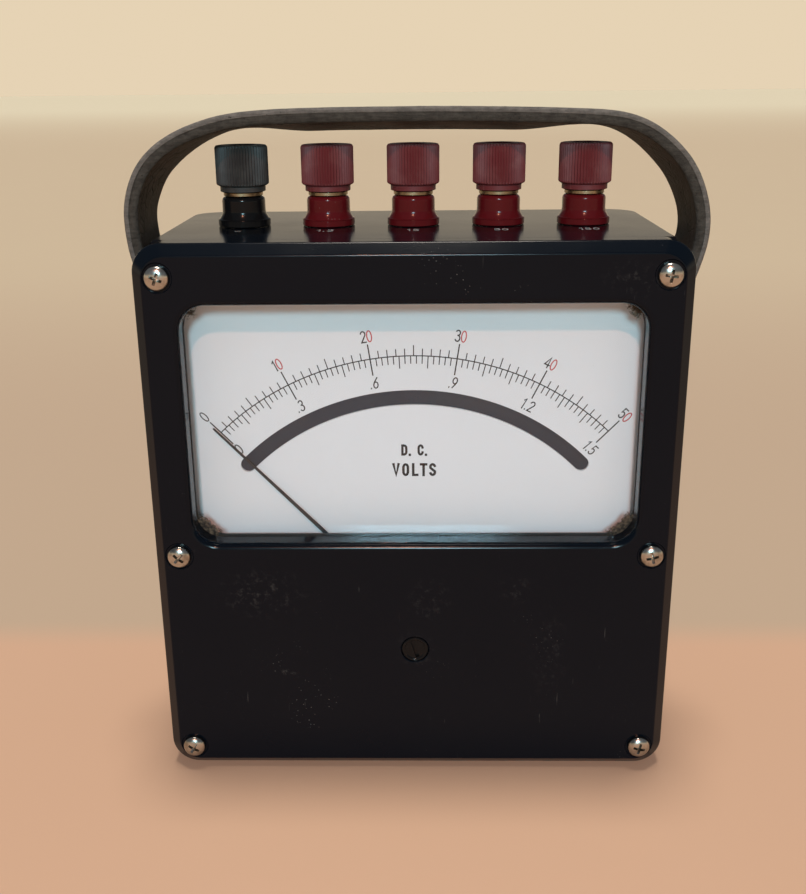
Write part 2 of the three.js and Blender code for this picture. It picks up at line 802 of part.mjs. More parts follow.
// A slotted screw whose cupped end holds the jewel that a pivot turns in.
function jewelScrew(tipDepth, direction) {
  const { radius, length, cup, slotDepth, slotWidth } = JEWEL_SCREW;
  const profile = [[0, cup], [cup, 0], [radius, 0], [radius, length], [0, length]];
  const placed = profile.map(([radius, height]) => [radius, -direction * height]);
  if (direction > 0) placed.reverse();
  const screw = turned(placed, "y", [0, depthY(tipDepth), PIVOT_Z], 16);
  const end = depthY(tipDepth) - direction * length;
  const half = slotWidth / 2;
  return cut(screw, box(-3, 3, end - slotDepth, end + slotDepth, PIVOT_Z - half, PIVOT_Z + half));
}

// The casting that holds the magnet off the case's back wall and carries the dial's two pillars.
function movementBase() {
  const { halfWidth, bottom, top, front, thickness, legPad, crownPad, wallPillar } = BASE;
  const back = front + thickness;
  const wall = CASE.depth - CASE.wall - GAP;
  const padFront = MAGNET.back + GAP;
  const padAt = (x0, x1, z0, z1) => box(x0, x1, depthY(padFront), depthY(front + 1), z0, z1);
  const pillarAt = (x, z) => bar(wallPillar.radius, back - 1, wall, "y", [x, FRONT_Y, z], 12);
  const dialPillarAt = (x) => {
    const place = [x, FRONT_Y, DIAL.screwZ];
    const seat = DIAL.depth + DIAL.thickness + GAP;
    const pillar = bar(BASE.dialPillarRadius, seat, front + 1, "y", place, 12);
    return cut(pillar, bar(DIAL.holeRadius, 0, seat + DIAL.screwLength + 1, "y", place, 12));
  };
  const solid = join(
    roundedBlock(-halfWidth, halfWidth, bottom, top, 4, front, back),
    padAt(-MAGNET.legOuter, -legPad.inner, legPad.bottom, legPad.top),
    padAt(legPad.inner, MAGNET.legOuter, legPad.bottom, legPad.top),
    padAt(
      -crownPad.halfWidth,
      crownPad.halfWidth,
      MAGNET.archZ + crownPad.bottom,
      MAGNET.archZ + crownPad.top,
    ),
    pillarAt(-wallPillar.x, bottom + wallPillar.fromBottom),
    pillarAt(wallPillar.x, bottom + wallPillar.fromBottom),
    pillarAt(-wallPillar.x, top - wallPillar.fromTop),
    pillarAt(wallPillar.x, top - wallPillar.fromTop),
    dialPillarAt(-DIAL.screwX),
    dialPillarAt(DIAL.screwX),
  );
  return cut(solid, bar(BASE.boreRadius, front - 1, back + 1, "y", [0, FRONT_Y, PIVOT_Z], 24));
}

function addFixedMovement() {
  addPiece("magnet", magnet(), FINISH.magnet);
  addPiece("pole_piece_left", polePiece(-1), FINISH.iron);
  addPiece("pole_piece_right", polePiece(1), FINISH.iron);
  addPiece("iron_core", ironCore(), FINISH.iron);
  addPiece("core_support", coreSupport(), FINISH.brass);
  addPiece("front_bridge", frontBridge(), FINISH.brass);
  addPiece("rear_bridge", rearBridge(), FINISH.brass);
  addPiece("front_jewel_screw", jewelScrew(JEWEL_SCREW.frontTip, 1), FINISH.brass);
  addPiece("rear_jewel_screw", jewelScrew(JEWEL_SCREW.rearTip, -1), FINISH.brass);
  addPiece("front_hairspring", hairspring(HAIRSPRING.frontDepth, 1), FINISH.bronze);
  addPiece("rear_hairspring", hairspring(HAIRSPRING.rearDepth, -1), FINISH.bronze);
  addPiece("movement_base", movementBase(), FINISH.aluminium);
}

// ---------------------------------------------------------------- dial

// A band of constant width along an arc about the movement's axis, with round ends.
function arcBand(radius, halfWidth, halfAngle) {
  const up = Math.PI / 2;
  const shape = new THREE.Path();
  const end = (angle) => [radius * Math.cos(angle), PIVOT_Z + radius * Math.sin(angle)];
  const [rightX, rightZ] = end(up - halfAngle);
  const [leftX, leftZ] = end(up + halfAngle);
  shape.absarc(0, PIVOT_Z, radius + halfWidth, up - halfAngle, up + halfAngle, false);
  shape.absarc(leftX, leftZ, halfWidth, up + halfAngle, up + halfAngle + Math.PI, false);
  shape.absarc(0, PIVOT_Z, radius - halfWidth, up + halfAngle, up - halfAngle, true);
  shape.absarc(rightX, rightZ, halfWidth, up - halfAngle - Math.PI, up - halfAngle, false);
  return shape;
}

function dialPlate() {
  const { halfWidth, bottom, top, cornerRadius, depth, thickness, screwX, screwZ } = DIAL;
  const back = depth + thickness;
  const plate = roundedBlock(-halfWidth, halfWidth, bottom, top, cornerRadius, depth, back);
  const { radius, halfWidth: slotHalf, halfAngle } = MIRROR_SLOT;
  const band = new THREE.Shape(arcBand(radius, slotHalf, halfAngle).getPoints(14));
  let solid = cut(plate, plateXZ(band, depth - 1, back + 1));
  for (const sign of Object.values(SIDES)) {
    const boss = [sign * COVER_SCREW.x, FRONT_Y, COVER_SCREW.rows.middle];
    const screw = [sign * screwX, FRONT_Y, screwZ];
    const notchRadius = COVER_SCREW.bossRadius.middle + 0.8;
    solid = cut(
      solid,
      bar(notchRadius, depth - 1, back + 1, "y", boss, 12),
      bar(DIAL.holeRadius, depth - 1, back + 1, "y", screw, 12),
    );
  }
  return solid;
}

function dialMirror() {
  const front = DIAL.depth + DIAL.thickness + GAP;
  const { radius, halfWidth, halfAngle } = MIRROR_SLOT;
  const band = new THREE.Shape(arcBand(radius, halfWidth + 1.6, halfAngle).getPoints(10));
  return plateXZ(band, front, front + 1);
}

function dialScrew(x) {
  const seat = DIAL.depth - GAP;
  const { screwRadius, screwHeadRadius, screwLength } = DIAL;
  const profile = [
    [0, seat - 1.1],
    [screwHeadRadius - 0.7, seat - 0.9],
    [screwHeadRadius, seat],
    [screwRadius, seat],
    [screwRadius, seat + screwLength],
    [0, seat + screwLength],
  ];
  const screw = turned(profile, "y", [x, FRONT_Y, DIAL.screwZ], 16);
  const z = DIAL.screwZ;
  return cut(screw, box(x - 3, x + 3, depthY(seat - 2), depthY(seat - 0.6), z - 0.25, z + 0.25));
}

function addDial() {
  addPiece("dial_plate", dialPlate(), FINISH.dialPaint);
  addPiece("dial_mirror", dialMirror(), FINISH.mirror);
  addPiece("dial_screw_left", dialScrew(-DIAL.screwX), FINISH.brass);
  addPiece("dial_screw_right", dialScrew(DIAL.screwX), FINISH.brass);
}

// ---------------------------------------------------------------- terminals

function postPositions() {
  const middle = (POST.names.length - 1) / 2;
  return POST.names.map((_, i) => (i - middle) * POST.spacing);
}

function postBase(place) {
  const { boreRadius, flangeRadius, bodyRadius, bodyTop } = POST;
  return turned(
    [
      [boreRadius, GAP],
      [flangeRadius, GAP],
      [flangeRadius, 2.3],
      [6.7, 3],
      [bodyRadius, 4.5],
      [bodyRadius, 7.8],
      [bodyRadius - 0.8, bodyTop],
      [boreRadius, bodyTop],
      [boreRadius, GAP],
    ],
    "z",
    place,
    20,
  );
}

// The threaded stud with its washer and nut under the panel, a wire hole and a plug socket.
function postStud(place) {
  const { studRadius, studTop, studBottom, plugRadius, plugDepth, wireHoleRadius, wireHoleZ } = POST;
  const { washerRadius, washerThickness, nutRadius, nutThickness } = POST;
  const washerTop = -CASE.wall - GAP;
  const nutTop = washerTop - washerThickness + 0.1; // just into the washer, so that they are one solid
  const rod = bar(studRadius, studBottom, studTop, "z", place, 12);
  const washer = bar(washerRadius, washerTop - washerThickness, washerTop, "z", place, 12);
  const nut = bar(nutRadius, nutTop - nutThickness, nutTop, "z", place, 6);
  const socket = bar(plugRadius, studTop - plugDepth, studTop + 1, "z", place, 8);
  const wireHole = bar(wireHoleRadius, -2 * studRadius, 2 * studRadius, "x", moveUp(place, wireHoleZ), 6);
  return cut(join(rod, washer, nut), socket, wireHole);
}

const moveUp = ([x, y, z], rise) => [x, y, z + rise];

// The metal clamp face of the thumb nut, with the threaded neck that the cap is moulded on.
function capInsert(place) {
  const { boreRadius, insertRadius, bodyTop, insertTop, neckRadius, neckTop } = POST;
  const profile = [
    [boreRadius, bodyTop + GAP],
    [insertRadius, bodyTop + GAP],
    [insertRadius, insertTop],
    [neckRadius, insertTop],
    [neckRadius, neckTop],
    [boreRadius, neckTop],
    [boreRadius, bodyTop + GAP],
  ];
  return turned(profile, "z", place, 16);
}

function postCap(place) {
  const { boreRadius, collarRadius, capRadius, capTop, insertTop, neckRadius, neckTop } = POST;
  const profile = [
    [neckRadius + 0.25, insertTop + GAP],
    [collarRadius, insertTop + GAP],
    [collarRadius, 11.5],
    [capRadius, 12.4],
    [capRadius, capTop - 0.8],
    [capRadius - 0.8, capTop],
    [boreRadius, capTop],
    [boreRadius, neckTop + 0.25],
    [neckRadius + 0.25, neckTop + 0.25],
    [neckRadius + 0.25, insertTop + GAP],
  ];
  return turned(profile, "z", place, 20);
}

function addTerminals() {
  postPositions().forEach((x, i) => {
    const place = [x, POST.y, COVER.height];
    const name = POST.names[i];
    const black = name === "black";
    addPiece("post_base_" + name, postBase(place), black ? FINISH.blackMoulding : FINISH.redMoulding);
    addPiece("post_stud_" + name, postStud(place), FINISH.brass);
    addPiece("cap_insert_" + name, capInsert(place), FINISH.brass);
    addPiece("post_cap_" + name, postCap(place), black ? FINISH.blackCap : FINISH.redCap);
  });
}

// ---------------------------------------------------------------- range resistors

// A board with one wound spool for each measuring range.
function resistorBoard() {
  const { halfWidth, bottom, top, front, thickness } = BOARD;
  const panel = roundedBlock(-halfWidth, halfWidth, bottom, top, 2, front, front + thickness);
  const { flangeRadius, flange, coreRadius, length } = SPOOL;
  const profile = [
    [0, 0],
    [flangeRadius, 0],
    [flangeRadius, flange],
    [coreRadius, flange],
    [coreRadius, length - flange],
    [flangeRadius, length - flange],
    [flangeRadius, length],
    [0, length],
  ];
  const spools = [-1.5, -0.5, 0.5, 1.5].map((step) => {
    const place = [step * POST.spacing, depthY(front - SPOOL.inset), bottom + SPOOL.rise];
    return turned(profile, "z", place, 10);
  });
  return join(panel, ...spools);
}

// ---------------------------------------------------------------- carrying strap

function strapOutline() {
  const points = STRAP.route.map(([x, z]) => new THREE.Vector3(x, z, 0));
  const curve = new THREE.CatmullRomCurve3(points, false, "centripetal");
  const side = (offset) =>
    Array.from({ length: STRAP.routeSteps + 1 }, (_, i) => {
      const t = i / STRAP.routeSteps;
      const point = curve.getPointAt(t);
      const along = curve.getTangentAt(t);
      return new THREE.Vector2(point.x - along.y * offset, point.y + along.x * offset);
    });
  return [...side(STRAP.thickness / 2), ...side(-STRAP.thickness / 2).reverse()];
}

function strap() {
  const frontDepth = STRAP.y - STRAP.width / 2 - FRONT_Y;
  const band = plateXZ(new THREE.Shape(strapOutline()), frontDepth, frontDepth + STRAP.width);
  const place = [0, STRAP.y, STRAP.pivotZ];
  return cut(band, bar(STRAP.holeRadius, -90, 90, "x", place, 16));
}

function strapScrew(sign) {
  const seat = STRAP.route.at(-1)[0] + STRAP.thickness / 2 + STRAP.screwClearance;
  const { headRadius, headHeight, shankRadius, innerX } = STRAP_SCREW;
  const profile = [
    [0, innerX],
    [shankRadius, innerX],
    [shankRadius, seat],
    [headRadius, seat],
    [headRadius, seat + 0.6],
    [headRadius - 1.6, seat + headHeight - 0.3],
    [0, seat + headHeight],
  ];
  const place = [0, STRAP.y, STRAP.pivotZ];
  const screw = turned(profile, "x", place, 16);
  return sign > 0 ? screw : screw.mirror([1, 0, 0]);
}

function addStrap() {
  addPiece("strap", strap(), FINISH.leather);
  addPiece("strap_screw_left", strapScrew(-1), FINISH.nickel);
  addPiece("strap_screw_right", strapScrew(1), FINISH.nickel);
}

// ---------------------------------------------------------------- assembly

addHousing();
addPiece("zero_adjuster", zeroAdjuster(), FINISH.blackMoulding);
addPiece("zero_arm", zeroArm(), FINISH.brass);
addMovingElement();
addFixedMovement();
addDial();
addTerminals();
addPiece("resistor_board", resistorBoard(), FINISH.board);
addStrap();

export default meter;
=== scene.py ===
"""Looks of a portable DC voltmeter: moulded case, glazed mirror scale, five terminals and a leather strap.

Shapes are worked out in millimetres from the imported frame's boxes and turned into metres when a mesh is made.
"""

import math

import bmesh
import bpy
from mathutils import Matrix, Vector, noise


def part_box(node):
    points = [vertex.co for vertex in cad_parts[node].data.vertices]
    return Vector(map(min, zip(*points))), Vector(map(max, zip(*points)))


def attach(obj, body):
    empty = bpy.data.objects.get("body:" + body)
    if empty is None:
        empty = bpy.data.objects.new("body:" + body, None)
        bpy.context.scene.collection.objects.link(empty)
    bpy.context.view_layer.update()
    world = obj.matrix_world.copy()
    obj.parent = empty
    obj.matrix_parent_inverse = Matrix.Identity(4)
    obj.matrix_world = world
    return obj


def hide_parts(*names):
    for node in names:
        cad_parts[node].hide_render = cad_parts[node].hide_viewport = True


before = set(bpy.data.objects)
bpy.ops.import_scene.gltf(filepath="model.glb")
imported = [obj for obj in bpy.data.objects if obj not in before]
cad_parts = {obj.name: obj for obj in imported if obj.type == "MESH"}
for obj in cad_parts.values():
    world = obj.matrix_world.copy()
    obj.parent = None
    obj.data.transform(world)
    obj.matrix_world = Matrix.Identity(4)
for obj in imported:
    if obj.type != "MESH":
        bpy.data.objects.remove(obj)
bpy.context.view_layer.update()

MM = 0.001
TURN = 2 * math.pi


def box_mm(node):
    """Lowest and highest corner of a CAD node, in millimetres."""
    low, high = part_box(node)
    return low / MM, high / MM


def centre_mm(node):
    low, high = box_mm(node)
    return (low + high) / 2


# ---- driving sizes, from the frame

COVER_LOW, COVER_HIGH = box_mm("front_cover")
CASE_LOW, CASE_HIGH = box_mm("rear_case")
GLASS_LOW, GLASS_HIGH = box_mm("window_glass")
DIAL_LOW, DIAL_HIGH = box_mm("dial_plate")
STRAP_LOW, STRAP_HIGH = box_mm("strap")
FRONT = COVER_LOW.y  # the cover's front face
PANEL = CASE_HIGH.z  # the terminal panel on top
PIVOT = centre_mm("iron_core")  # the movement turns about a line through this point along Y
SIDES = ("left", "right")
ROWS = ("top", "middle", "bottom")
POSTS = ("black", "red_1", "red_2", "red_3", "red_4")

# Cover
COVER_CORNER = 8.0
BEVEL = 3.4  # how far the front edge is drawn in
BEVEL_FILLET = 0.9
CORNER_DRAW = 0.6  # the outline's corner radius shrinks by this share of the draw
WINDOW_MARGIN = 1.7  # the glass reaches this far behind the window's edge
WINDOW_CORNER = 7.5
GRIME_CORNER = 10.0  # dirt keeps outside circles of this radius in the glass's corners
LIP_RADIUS = 1.9
SINK_RADIUS = 3.95
SINK_DEPTH = 0.6
MOUTH_EASE = 0.25
COVER_CAVITY = (61.0, 5.0, 67.0, 3.2)  # half width, bottom, top, plate thickness

# Zero adjuster: radii, and depths behind the cover's face
RECESS_RADIUS, RECESS_DEPTH = 4.1, 2.2
BOSS_RADIUS, BOSS_BACK = 5.5, 4.2
SPINDLE_RADIUS, SPINDLE_BORE = 1.3, 1.5
BUTTON_BACK = 2.05
CRANK_RADIUS, CRANK_FRONT, CRANK_BACK = 2.6, 4.35, 5.15
PIN_RADIUS, PIN_OFFSET, PIN_BACK = 0.6, 1.2, 6.95
DRIVER_SLOT = (0.55, 2.75, 1.2)  # half width, half length, depth
ADJUSTER_TURN = -17  # degrees from upright

# Case
CASE_HALF = 71.0
CASE_WALL = 3.5
CASE_BACK_CORNER = 9.0
FLANGE = 3.0
CASE_EDGE = 0.8

# Scale: radii about the pivot, angles from upright
SCALE_RADIUS = 81.0
SCALE_HALF_ANGLE = math.radians(43.9)
OUTER_TICKS = {"minor": 83.0, "five": 84.0, "ten": 85.2}
INNER_TICKS = {"minor": 78.8, "medium": 77.5, "major": 76.3}
OUTER_NUMERAL_RADIUS = 87.6
INNER_NUMERAL_RADIUS = 73.9
SLOT_RADIUS = 68.7
SLOT_HALF_WIDTH = 2.2
SLOT_HALF_ANGLE = math.radians(45.2)
OUTER_NUMERAL_HEIGHT, INNER_NUMERAL_HEIGHT = 3.3, 3.2
CURRENT_WORD_Z, UNIT_WORD_Z = 98.7, 92.6
PRINT_RAISE = 0.03
BOLD, FINE = 0.36, 0.28  # widths of the scale's lines

# Terminals: the washer and nut are under the panel; the numbers on the panel stand in front
POST_BORE, POST_BODY_RADIUS, POST_TOP = 3.4, 6.3, 8.6
THREAD_PITCH = 0.907
WASHER_RADIUS, WASHER_THICKNESS = 6.5, 0.8
NUT_RADIUS, NUT_HEIGHT = 5.6, 4.0
CAP_FLUTES, FLUTE_POINTS, FLUTE_DEPTH = 54, 6, 0.42
RANGES = ("-", "1.5", "15", "50", "150")
RANGES_AHEAD = 13.2
RANGES_HEIGHT = 3.6

# Strap: the leather's middle line from the front, as in the CAD part
STRAP_ROUTE = [
    (-73.9, 116), (-73.9, 125), (-73.9, 134), (-76.4, 145), (-79.3, 158), (-78.9, 170),
    (-73.2, 180.6), (-61, 187.9), (-42, 191.6), (0, 192.3), (42, 191.5), (61, 189.3),
    (73.2, 181.3), (79.7, 170.6), (81.3, 158.5), (77.8, 145), (73.9, 134), (73.9, 125),
    (73.9, 116),
]
STRAP_THICKNESS = 4.2
STRAP_END = 12.0  # length of the rounding about each screw
# The rear edge of the leather hangs lower, and less so over the outer terminals
STRAP_SAG = 3.2
STRAP_SAG_START, STRAP_SAG_RISE = 150.0, 25.0
STRAP_SAG_EASE, STRAP_SAG_EASE_AT, STRAP_SAG_EASE_HALF = 0.75, 53.0, 24.0


# ---- mesh helpers


def make_object(name, points, faces):
    """A mesh object from points in millimetres and faces as lists of point numbers."""
    mesh = bpy.data.meshes.new(name)
    mesh.from_pydata([Vector(p) * MM for p in points], [], faces)
    mesh.validate()
    obj = bpy.data.objects.new(name, mesh)
    bpy.context.scene.collection.objects.link(obj)
    return obj


def face_outwards(obj):
    mesh = bmesh.new()
    mesh.from_mesh(obj.data)
    bmesh.ops.remove_doubles(mesh, verts=mesh.verts, dist=1e-7)
    bmesh.ops.recalc_face_normals(mesh, faces=mesh.faces)
    mesh.to_mesh(obj.data)
    mesh.free()


def smooth(obj, sharp_degrees, weighted=True):
    """Smooth shading that keeps edges sharper than the angle."""
    mesh = bmesh.new()
    mesh.from_mesh(obj.data)
    limit = math.radians(sharp_degrees)
    for face in mesh.faces:
        face.smooth = True
    for edge in mesh.edges:
        edge.smooth = len(edge.link_faces) == 2 and edge.calc_face_angle(0) < limit
    mesh.to_mesh(obj.data)
    mesh.free()
    if weighted:
        modifier = obj.modifiers.new("weighted", "WEIGHTED_NORMAL")
        modifier.keep_sharp = True


def bake_modifiers(obj):
    graph = bpy.context.evaluated_depsgraph_get()
    mesh = bpy.data.meshes.new_from_object(obj.evaluated_get(graph))
    old = obj.data
    obj.modifiers.clear()
    obj.data = mesh
    bpy.data.meshes.remove(old)


def combine(target, other, operation):
    """Joins or cuts target with other, which is used up."""
    modifier = target.modifiers.new("combine", "BOOLEAN")
    modifier.operation = operation
    modifier.solver = "EXACT"
    modifier.object = other
    bake_modifiers(target)
    bpy.data.objects.remove(other)


def cut(target, *cutters):
    for cutter in cutters:
        combine(target, cutter, "DIFFERENCE")


def rounded_rect(x0, x1, z0, z1, radius, steps=12):
    """Points (x, z) of a rounded rectangle, anticlockwise."""
    corners = (
        (x1 - radius, z1 - radius, 0),
        (x0 + radius, z1 - radius, 1),
        (x0 + radius, z0 + radius, 2),
        (x1 - radius, z0 + radius, 3),
    )
    points = []
    for x, z, quarter in corners:
        for i in range(steps + 1):
            angle = (quarter + i / steps) * math.pi / 2
            points.append((x + radius * math.cos(angle), z + radius * math.sin(angle)))
    return points


def band_faces(rings, count, closed=False):
    """Quads between neighbouring rings of count points; closed joins the last ring to the first."""
    faces = []
    for r in range(rings if closed else rings - 1):
        start, following = r * count, (r + 1) % rings * count
        for i in range(count):
            j = (i + 1) % count
            faces.append((start + i, start + j, following + j, following + i))
    return faces


def loft(name, rings):
    """A closed solid through rings of equal length, each a list of 3-D points."""
    count = len(rings[0])
    points = [p for ring in rings for p in ring]
    faces = band_faces(len(rings), count)
    last = (len(rings) - 1) * count
    faces.append(tuple(range(count)))
    faces.append(tuple(last + i for i in reversed(range(count))))
    obj = make_object(name, points, faces)
    face_outwards(obj)
    return obj


def front_loft(name, sections):
    """A loft through flat outlines (x, z), each at its own depth behind the cover's front."""
    return loft(name, [[(x, FRONT + depth, z) for x, z in outline] for outline, depth in sections])


AXIS_TURNS = {
    "x": Matrix.Rotation(math.pi / 2, 4, "Y"),
    "y": Matrix.Rotation(-math.pi / 2, 4, "X"),
    "z": Matrix.Identity(4),
}


def turned(name, profile, centre, axis="z", segments=64):
    """A solid of revolution from (radius, height) points. Points on the axis close its ends;
    a profile that ends where it starts makes a ring."""
    rings = []
    points = []
    for radius, height in profile:
        if radius < 1e-6:
            rings.append([len(points)])
            points.append((0, 0, height))
            continue
        rings.append(list(range(len(points), len(points) + segments)))
        for i in range(segments):
            angle = TURN * i / segments
            points.append((radius * math.cos(angle), radius * math.sin(angle), height))
    faces = []
    for low, high in zip(rings, rings[1:]):
        for i in range(segments):
            a, b = low[i % len(low)], low[(i + 1) % len(low)]
            c, d = high[(i + 1) % len(high)], high[i % len(high)]
            corners = list(dict.fromkeys((a, b, c, d)))
            if len(corners) > 2:
                faces.append(tuple(corners))
    obj = make_object(name, points, faces)
    obj.data.transform(AXIS_TURNS[axis])
    obj.data.transform(Matrix.Translation(Vector(centre) * MM))
    face_outwards(obj)
    return obj


def arc(radius, start, end, steps, centre=(0.0, 0.0)):
    """Points on an arc between two angles in degrees."""
    points = []
    for i in range(steps + 1):
        angle = math.radians(start + (end - start) * i / steps)
        points.append((centre[0] + radius * math.cos(angle), centre[1] + radius * math.sin(angle)))
    return points


def block(name, low, high):
    x0, y0, z0 = low
    x1, y1, z1 = high
    ring = [(x0, z0), (x1, z0), (x1, z1), (x0, z1)]
    return loft(name, [[(x, y, z) for x, z in ring] for y in (y0, y1)])


# ---- shader helpers


class Shader:
    """A material being made: each method adds a node and gives back its output."""

    def __init__(self, name):
        self.material = bpy.data.materials.new(name)
        self.material.use_nodes = True
        self.tree = self.material.node_tree
        self.surface = self.tree.nodes["Principled BSDF"]
        self.place = self.node("ShaderNodeTexCoord").outputs["Object"]

    def node(self, kind, settings=None, inputs=None):
        made = self.tree.nodes.new(kind)
        for key, value in (settings or {}).items():
            setattr(made, key, value)
        for key, value in (inputs or {}).items():
            self.feed(made.inputs[key], value)
        return made

    def feed(self, socket, value):
        if isinstance(value, bpy.types.NodeSocket):
            self.tree.links.new(value, socket)
        elif isinstance(value, (tuple, list)) and socket.type == "RGBA":
            socket.default_value = (*value[:3], 1.0)
        else:
            socket.default_value = value

    def set(self, **values):
        """Sets the surface shader's sockets; underscores in a name stand for spaces."""
        for key, value in values.items():
            self.feed(self.surface.inputs[key.replace("_", " ")], value)
        return self

    def stretched(self, scale, turn=(0.0, 0.0, 0.0)):
        inputs = {"Vector": self.place, "Scale": scale, "Rotation": turn}
        return self.node("ShaderNodeMapping", None, inputs).outputs["Vector"]

    def noise(self, scale, detail=4.0, rough=0.55, place=None):
        inputs = {"Vector": place or self.place, "Scale": scale, "Detail": detail, "Roughness": rough}
        return self.node("ShaderNodeTexNoise", None, inputs).outputs["Fac"]

    def cells(self, scale, feature="F1", place=None):
        inputs = {"Vector": place or self.place, "Scale": scale}
        settings = {"feature": feature}
        return self.node("ShaderNodeTexVoronoi", settings, inputs).outputs["Distance"]

    def math(self, operation, a, b=0.0, clamp=False):
        made = self.node("ShaderNodeMath", {"operation": operation, "use_clamp": clamp})
        self.feed(made.inputs[0], a)
        self.feed(made.inputs[1], b)
        return made.outputs[0]

    def times(self, a, b):
        return self.math("MULTIPLY", a, b)

    def larger(self, a, b):
        return self.math("MAXIMUM", a, b)

    def step(self, value, low, high):
        """0 below low, 1 above high, smooth between; falls instead if low is the larger."""
        made = self.node("ShaderNodeMapRange", {"interpolation_type": "SMOOTHSTEP"})
        self.feed(made.inputs["Value"], value)
        made.inputs["From Min"].default_value = min(low, high)
        made.inputs["From Max"].default_value = max(low, high)
        made.inputs["To Min"].default_value = 0.0 if low < high else 1.0
        made.inputs["To Max"].default_value = 1.0 if low < high else 0.0
        return made.outputs["Result"]

    def between(self, value, low, high):
        """Rescales a 0 to 1 value to the range given."""
        made = self.node("ShaderNodeMapRange", None, {"Value": value})
        made.inputs["To Min"].default_value = low
        made.inputs["To Max"].default_value = high
        return made.outputs["Result"]

    def mix(self, share, a, b):
        made = self.node("ShaderNodeMix", {"data_type": "RGBA"})
        self.feed(made.inputs["Factor"], share)
        self.feed(made.inputs[6], a)
        self.feed(made.inputs[7], b)
        return made.outputs[2]

    def axis(self, name):
        made = self.node("ShaderNodeSeparateXYZ", None, {"Vector": self.place})
        return made.outputs[name]

    def near(self, point_mm, radius_mm, squash=(1.0, 1.0, 1.0)):
        """1 at a point, falling smoothly to 0 at the radius."""
        shift = self.node("ShaderNodeVectorMath", {"operation": "SUBTRACT"})
        self.feed(shift.inputs[0], self.place)
        shift.inputs[1].default_value = Vector(point_mm) * MM
        scaled = self.node("ShaderNodeVectorMath", {"operation": "MULTIPLY"})
        self.feed(scaled.inputs[0], shift.outputs[0])
        scaled.inputs[1].default_value = squash
        length = self.node("ShaderNodeVectorMath", {"operation": "LENGTH"})
        self.feed(length.inputs[0], scaled.outputs[0])
        return self.step(length.outputs["Value"], radius_mm * MM, 0.0)

    def bump(self, height, strength, distance_mm):
        inputs = {"Height": height, "Strength": strength, "Distance": distance_mm * MM}
        normal = self.node("ShaderNodeBump", None, inputs).outputs["Normal"]
        self.feed(self.surface.inputs["Normal"], normal)
        return self


# ---- materials


def phenolic(name, colour, dust_colour, smudges=(), gloss=0.1, speck_share=1.0):
    """Polished moulding: nearly smooth, with dust specks, faint scratches and wiped patches."""
    s = Shader(name)
    specks = s.step(s.cells(900.0), 0.13, 0.05)
    where = s.step(s.noise(45.0, 3.0), 0.6, 0.8)
    specks = s.times(specks, where)
    specks = s.times(specks, speck_share)
    hairs = s.noise(1.0, 2.0, 0.5, s.stretched((2600.0, 900.0, 120.0), (0.3, 0.5, 0.2)))
    scratches = s.times(s.step(hairs, 0.73, 0.78), s.step(s.noise(30.0), 0.5, 0.68))
    wear = s.times(scratches, 0.35)
    for point, radius, squash, strength in smudges:
        ragged = s.step(s.noise(420.0, 5.0, 0.7), 0.5, 0.72)
        patch = s.times(s.near(point, radius, squash), ragged)
        wear = s.larger(wear, s.times(patch, strength))
    film = s.between(s.noise(22.0, 4.0), 0.0, 0.006)
    marks = s.larger(specks, wear)
    marks = s.math("ADD", marks, film, True)
    s.set(Base_Color=s.mix(marks, colour, dust_colour))
    rough = s.between(s.noise(60.0, 5.0), gloss, gloss + 0.1)
    s.set(Roughness=s.math("ADD", rough, s.times(marks, 0.5), True))
    s.set(Specular_IOR_Level=0.155)
    ripple = s.math("ADD", s.noise(70.0, 2.0), s.times(scratches, -0.6))
    return s.bump(ripple, 0.06, 0.25).material


def cap_moulding(name, colour, dust_colour):
    """Dull handled moulding, with pale dust in patches and on its edges."""
    s = Shader(name)
    worn = s.step(s.node("ShaderNodeNewGeometry").outputs["Pointiness"], 0.5, 0.62)
    patches = s.step(s.noise(180.0, 6.0, 0.65), 0.42, 0.75)
    dust = s.math("ADD", s.times(worn, 0.25), s.times(patches, 0.35), True)
    s.set(Base_Color=s.mix(dust, colour, dust_colour))
    s.set(Roughness=s.between(s.noise(260.0), 0.42, 0.66), Specular_IOR_Level=0.4)
    return s.bump(s.noise(900.0, 3.0), 0.15, 0.1).material


def metal(name, colour, tarnish, roughness, scale=260.0):
    """Plated or turned metal with uneven tarnish and fine rubbing marks."""
    s = Shader(name)
    dull = s.step(s.noise(scale, 6.0, 0.6), 0.4, 0.75)
    s.set(Base_Color=s.mix(dull, colour, tarnish), Metallic=1.0)
    s.set(Roughness=s.between(s.noise(scale * 2.3, 4.0), roughness * 0.7, roughness * 1.5))
    rubbed = s.noise(1.0, 2.0, 0.5, s.stretched((300.0, 300.0, 4000.0)))
    return s.bump(rubbed, 0.08, 0.04).material


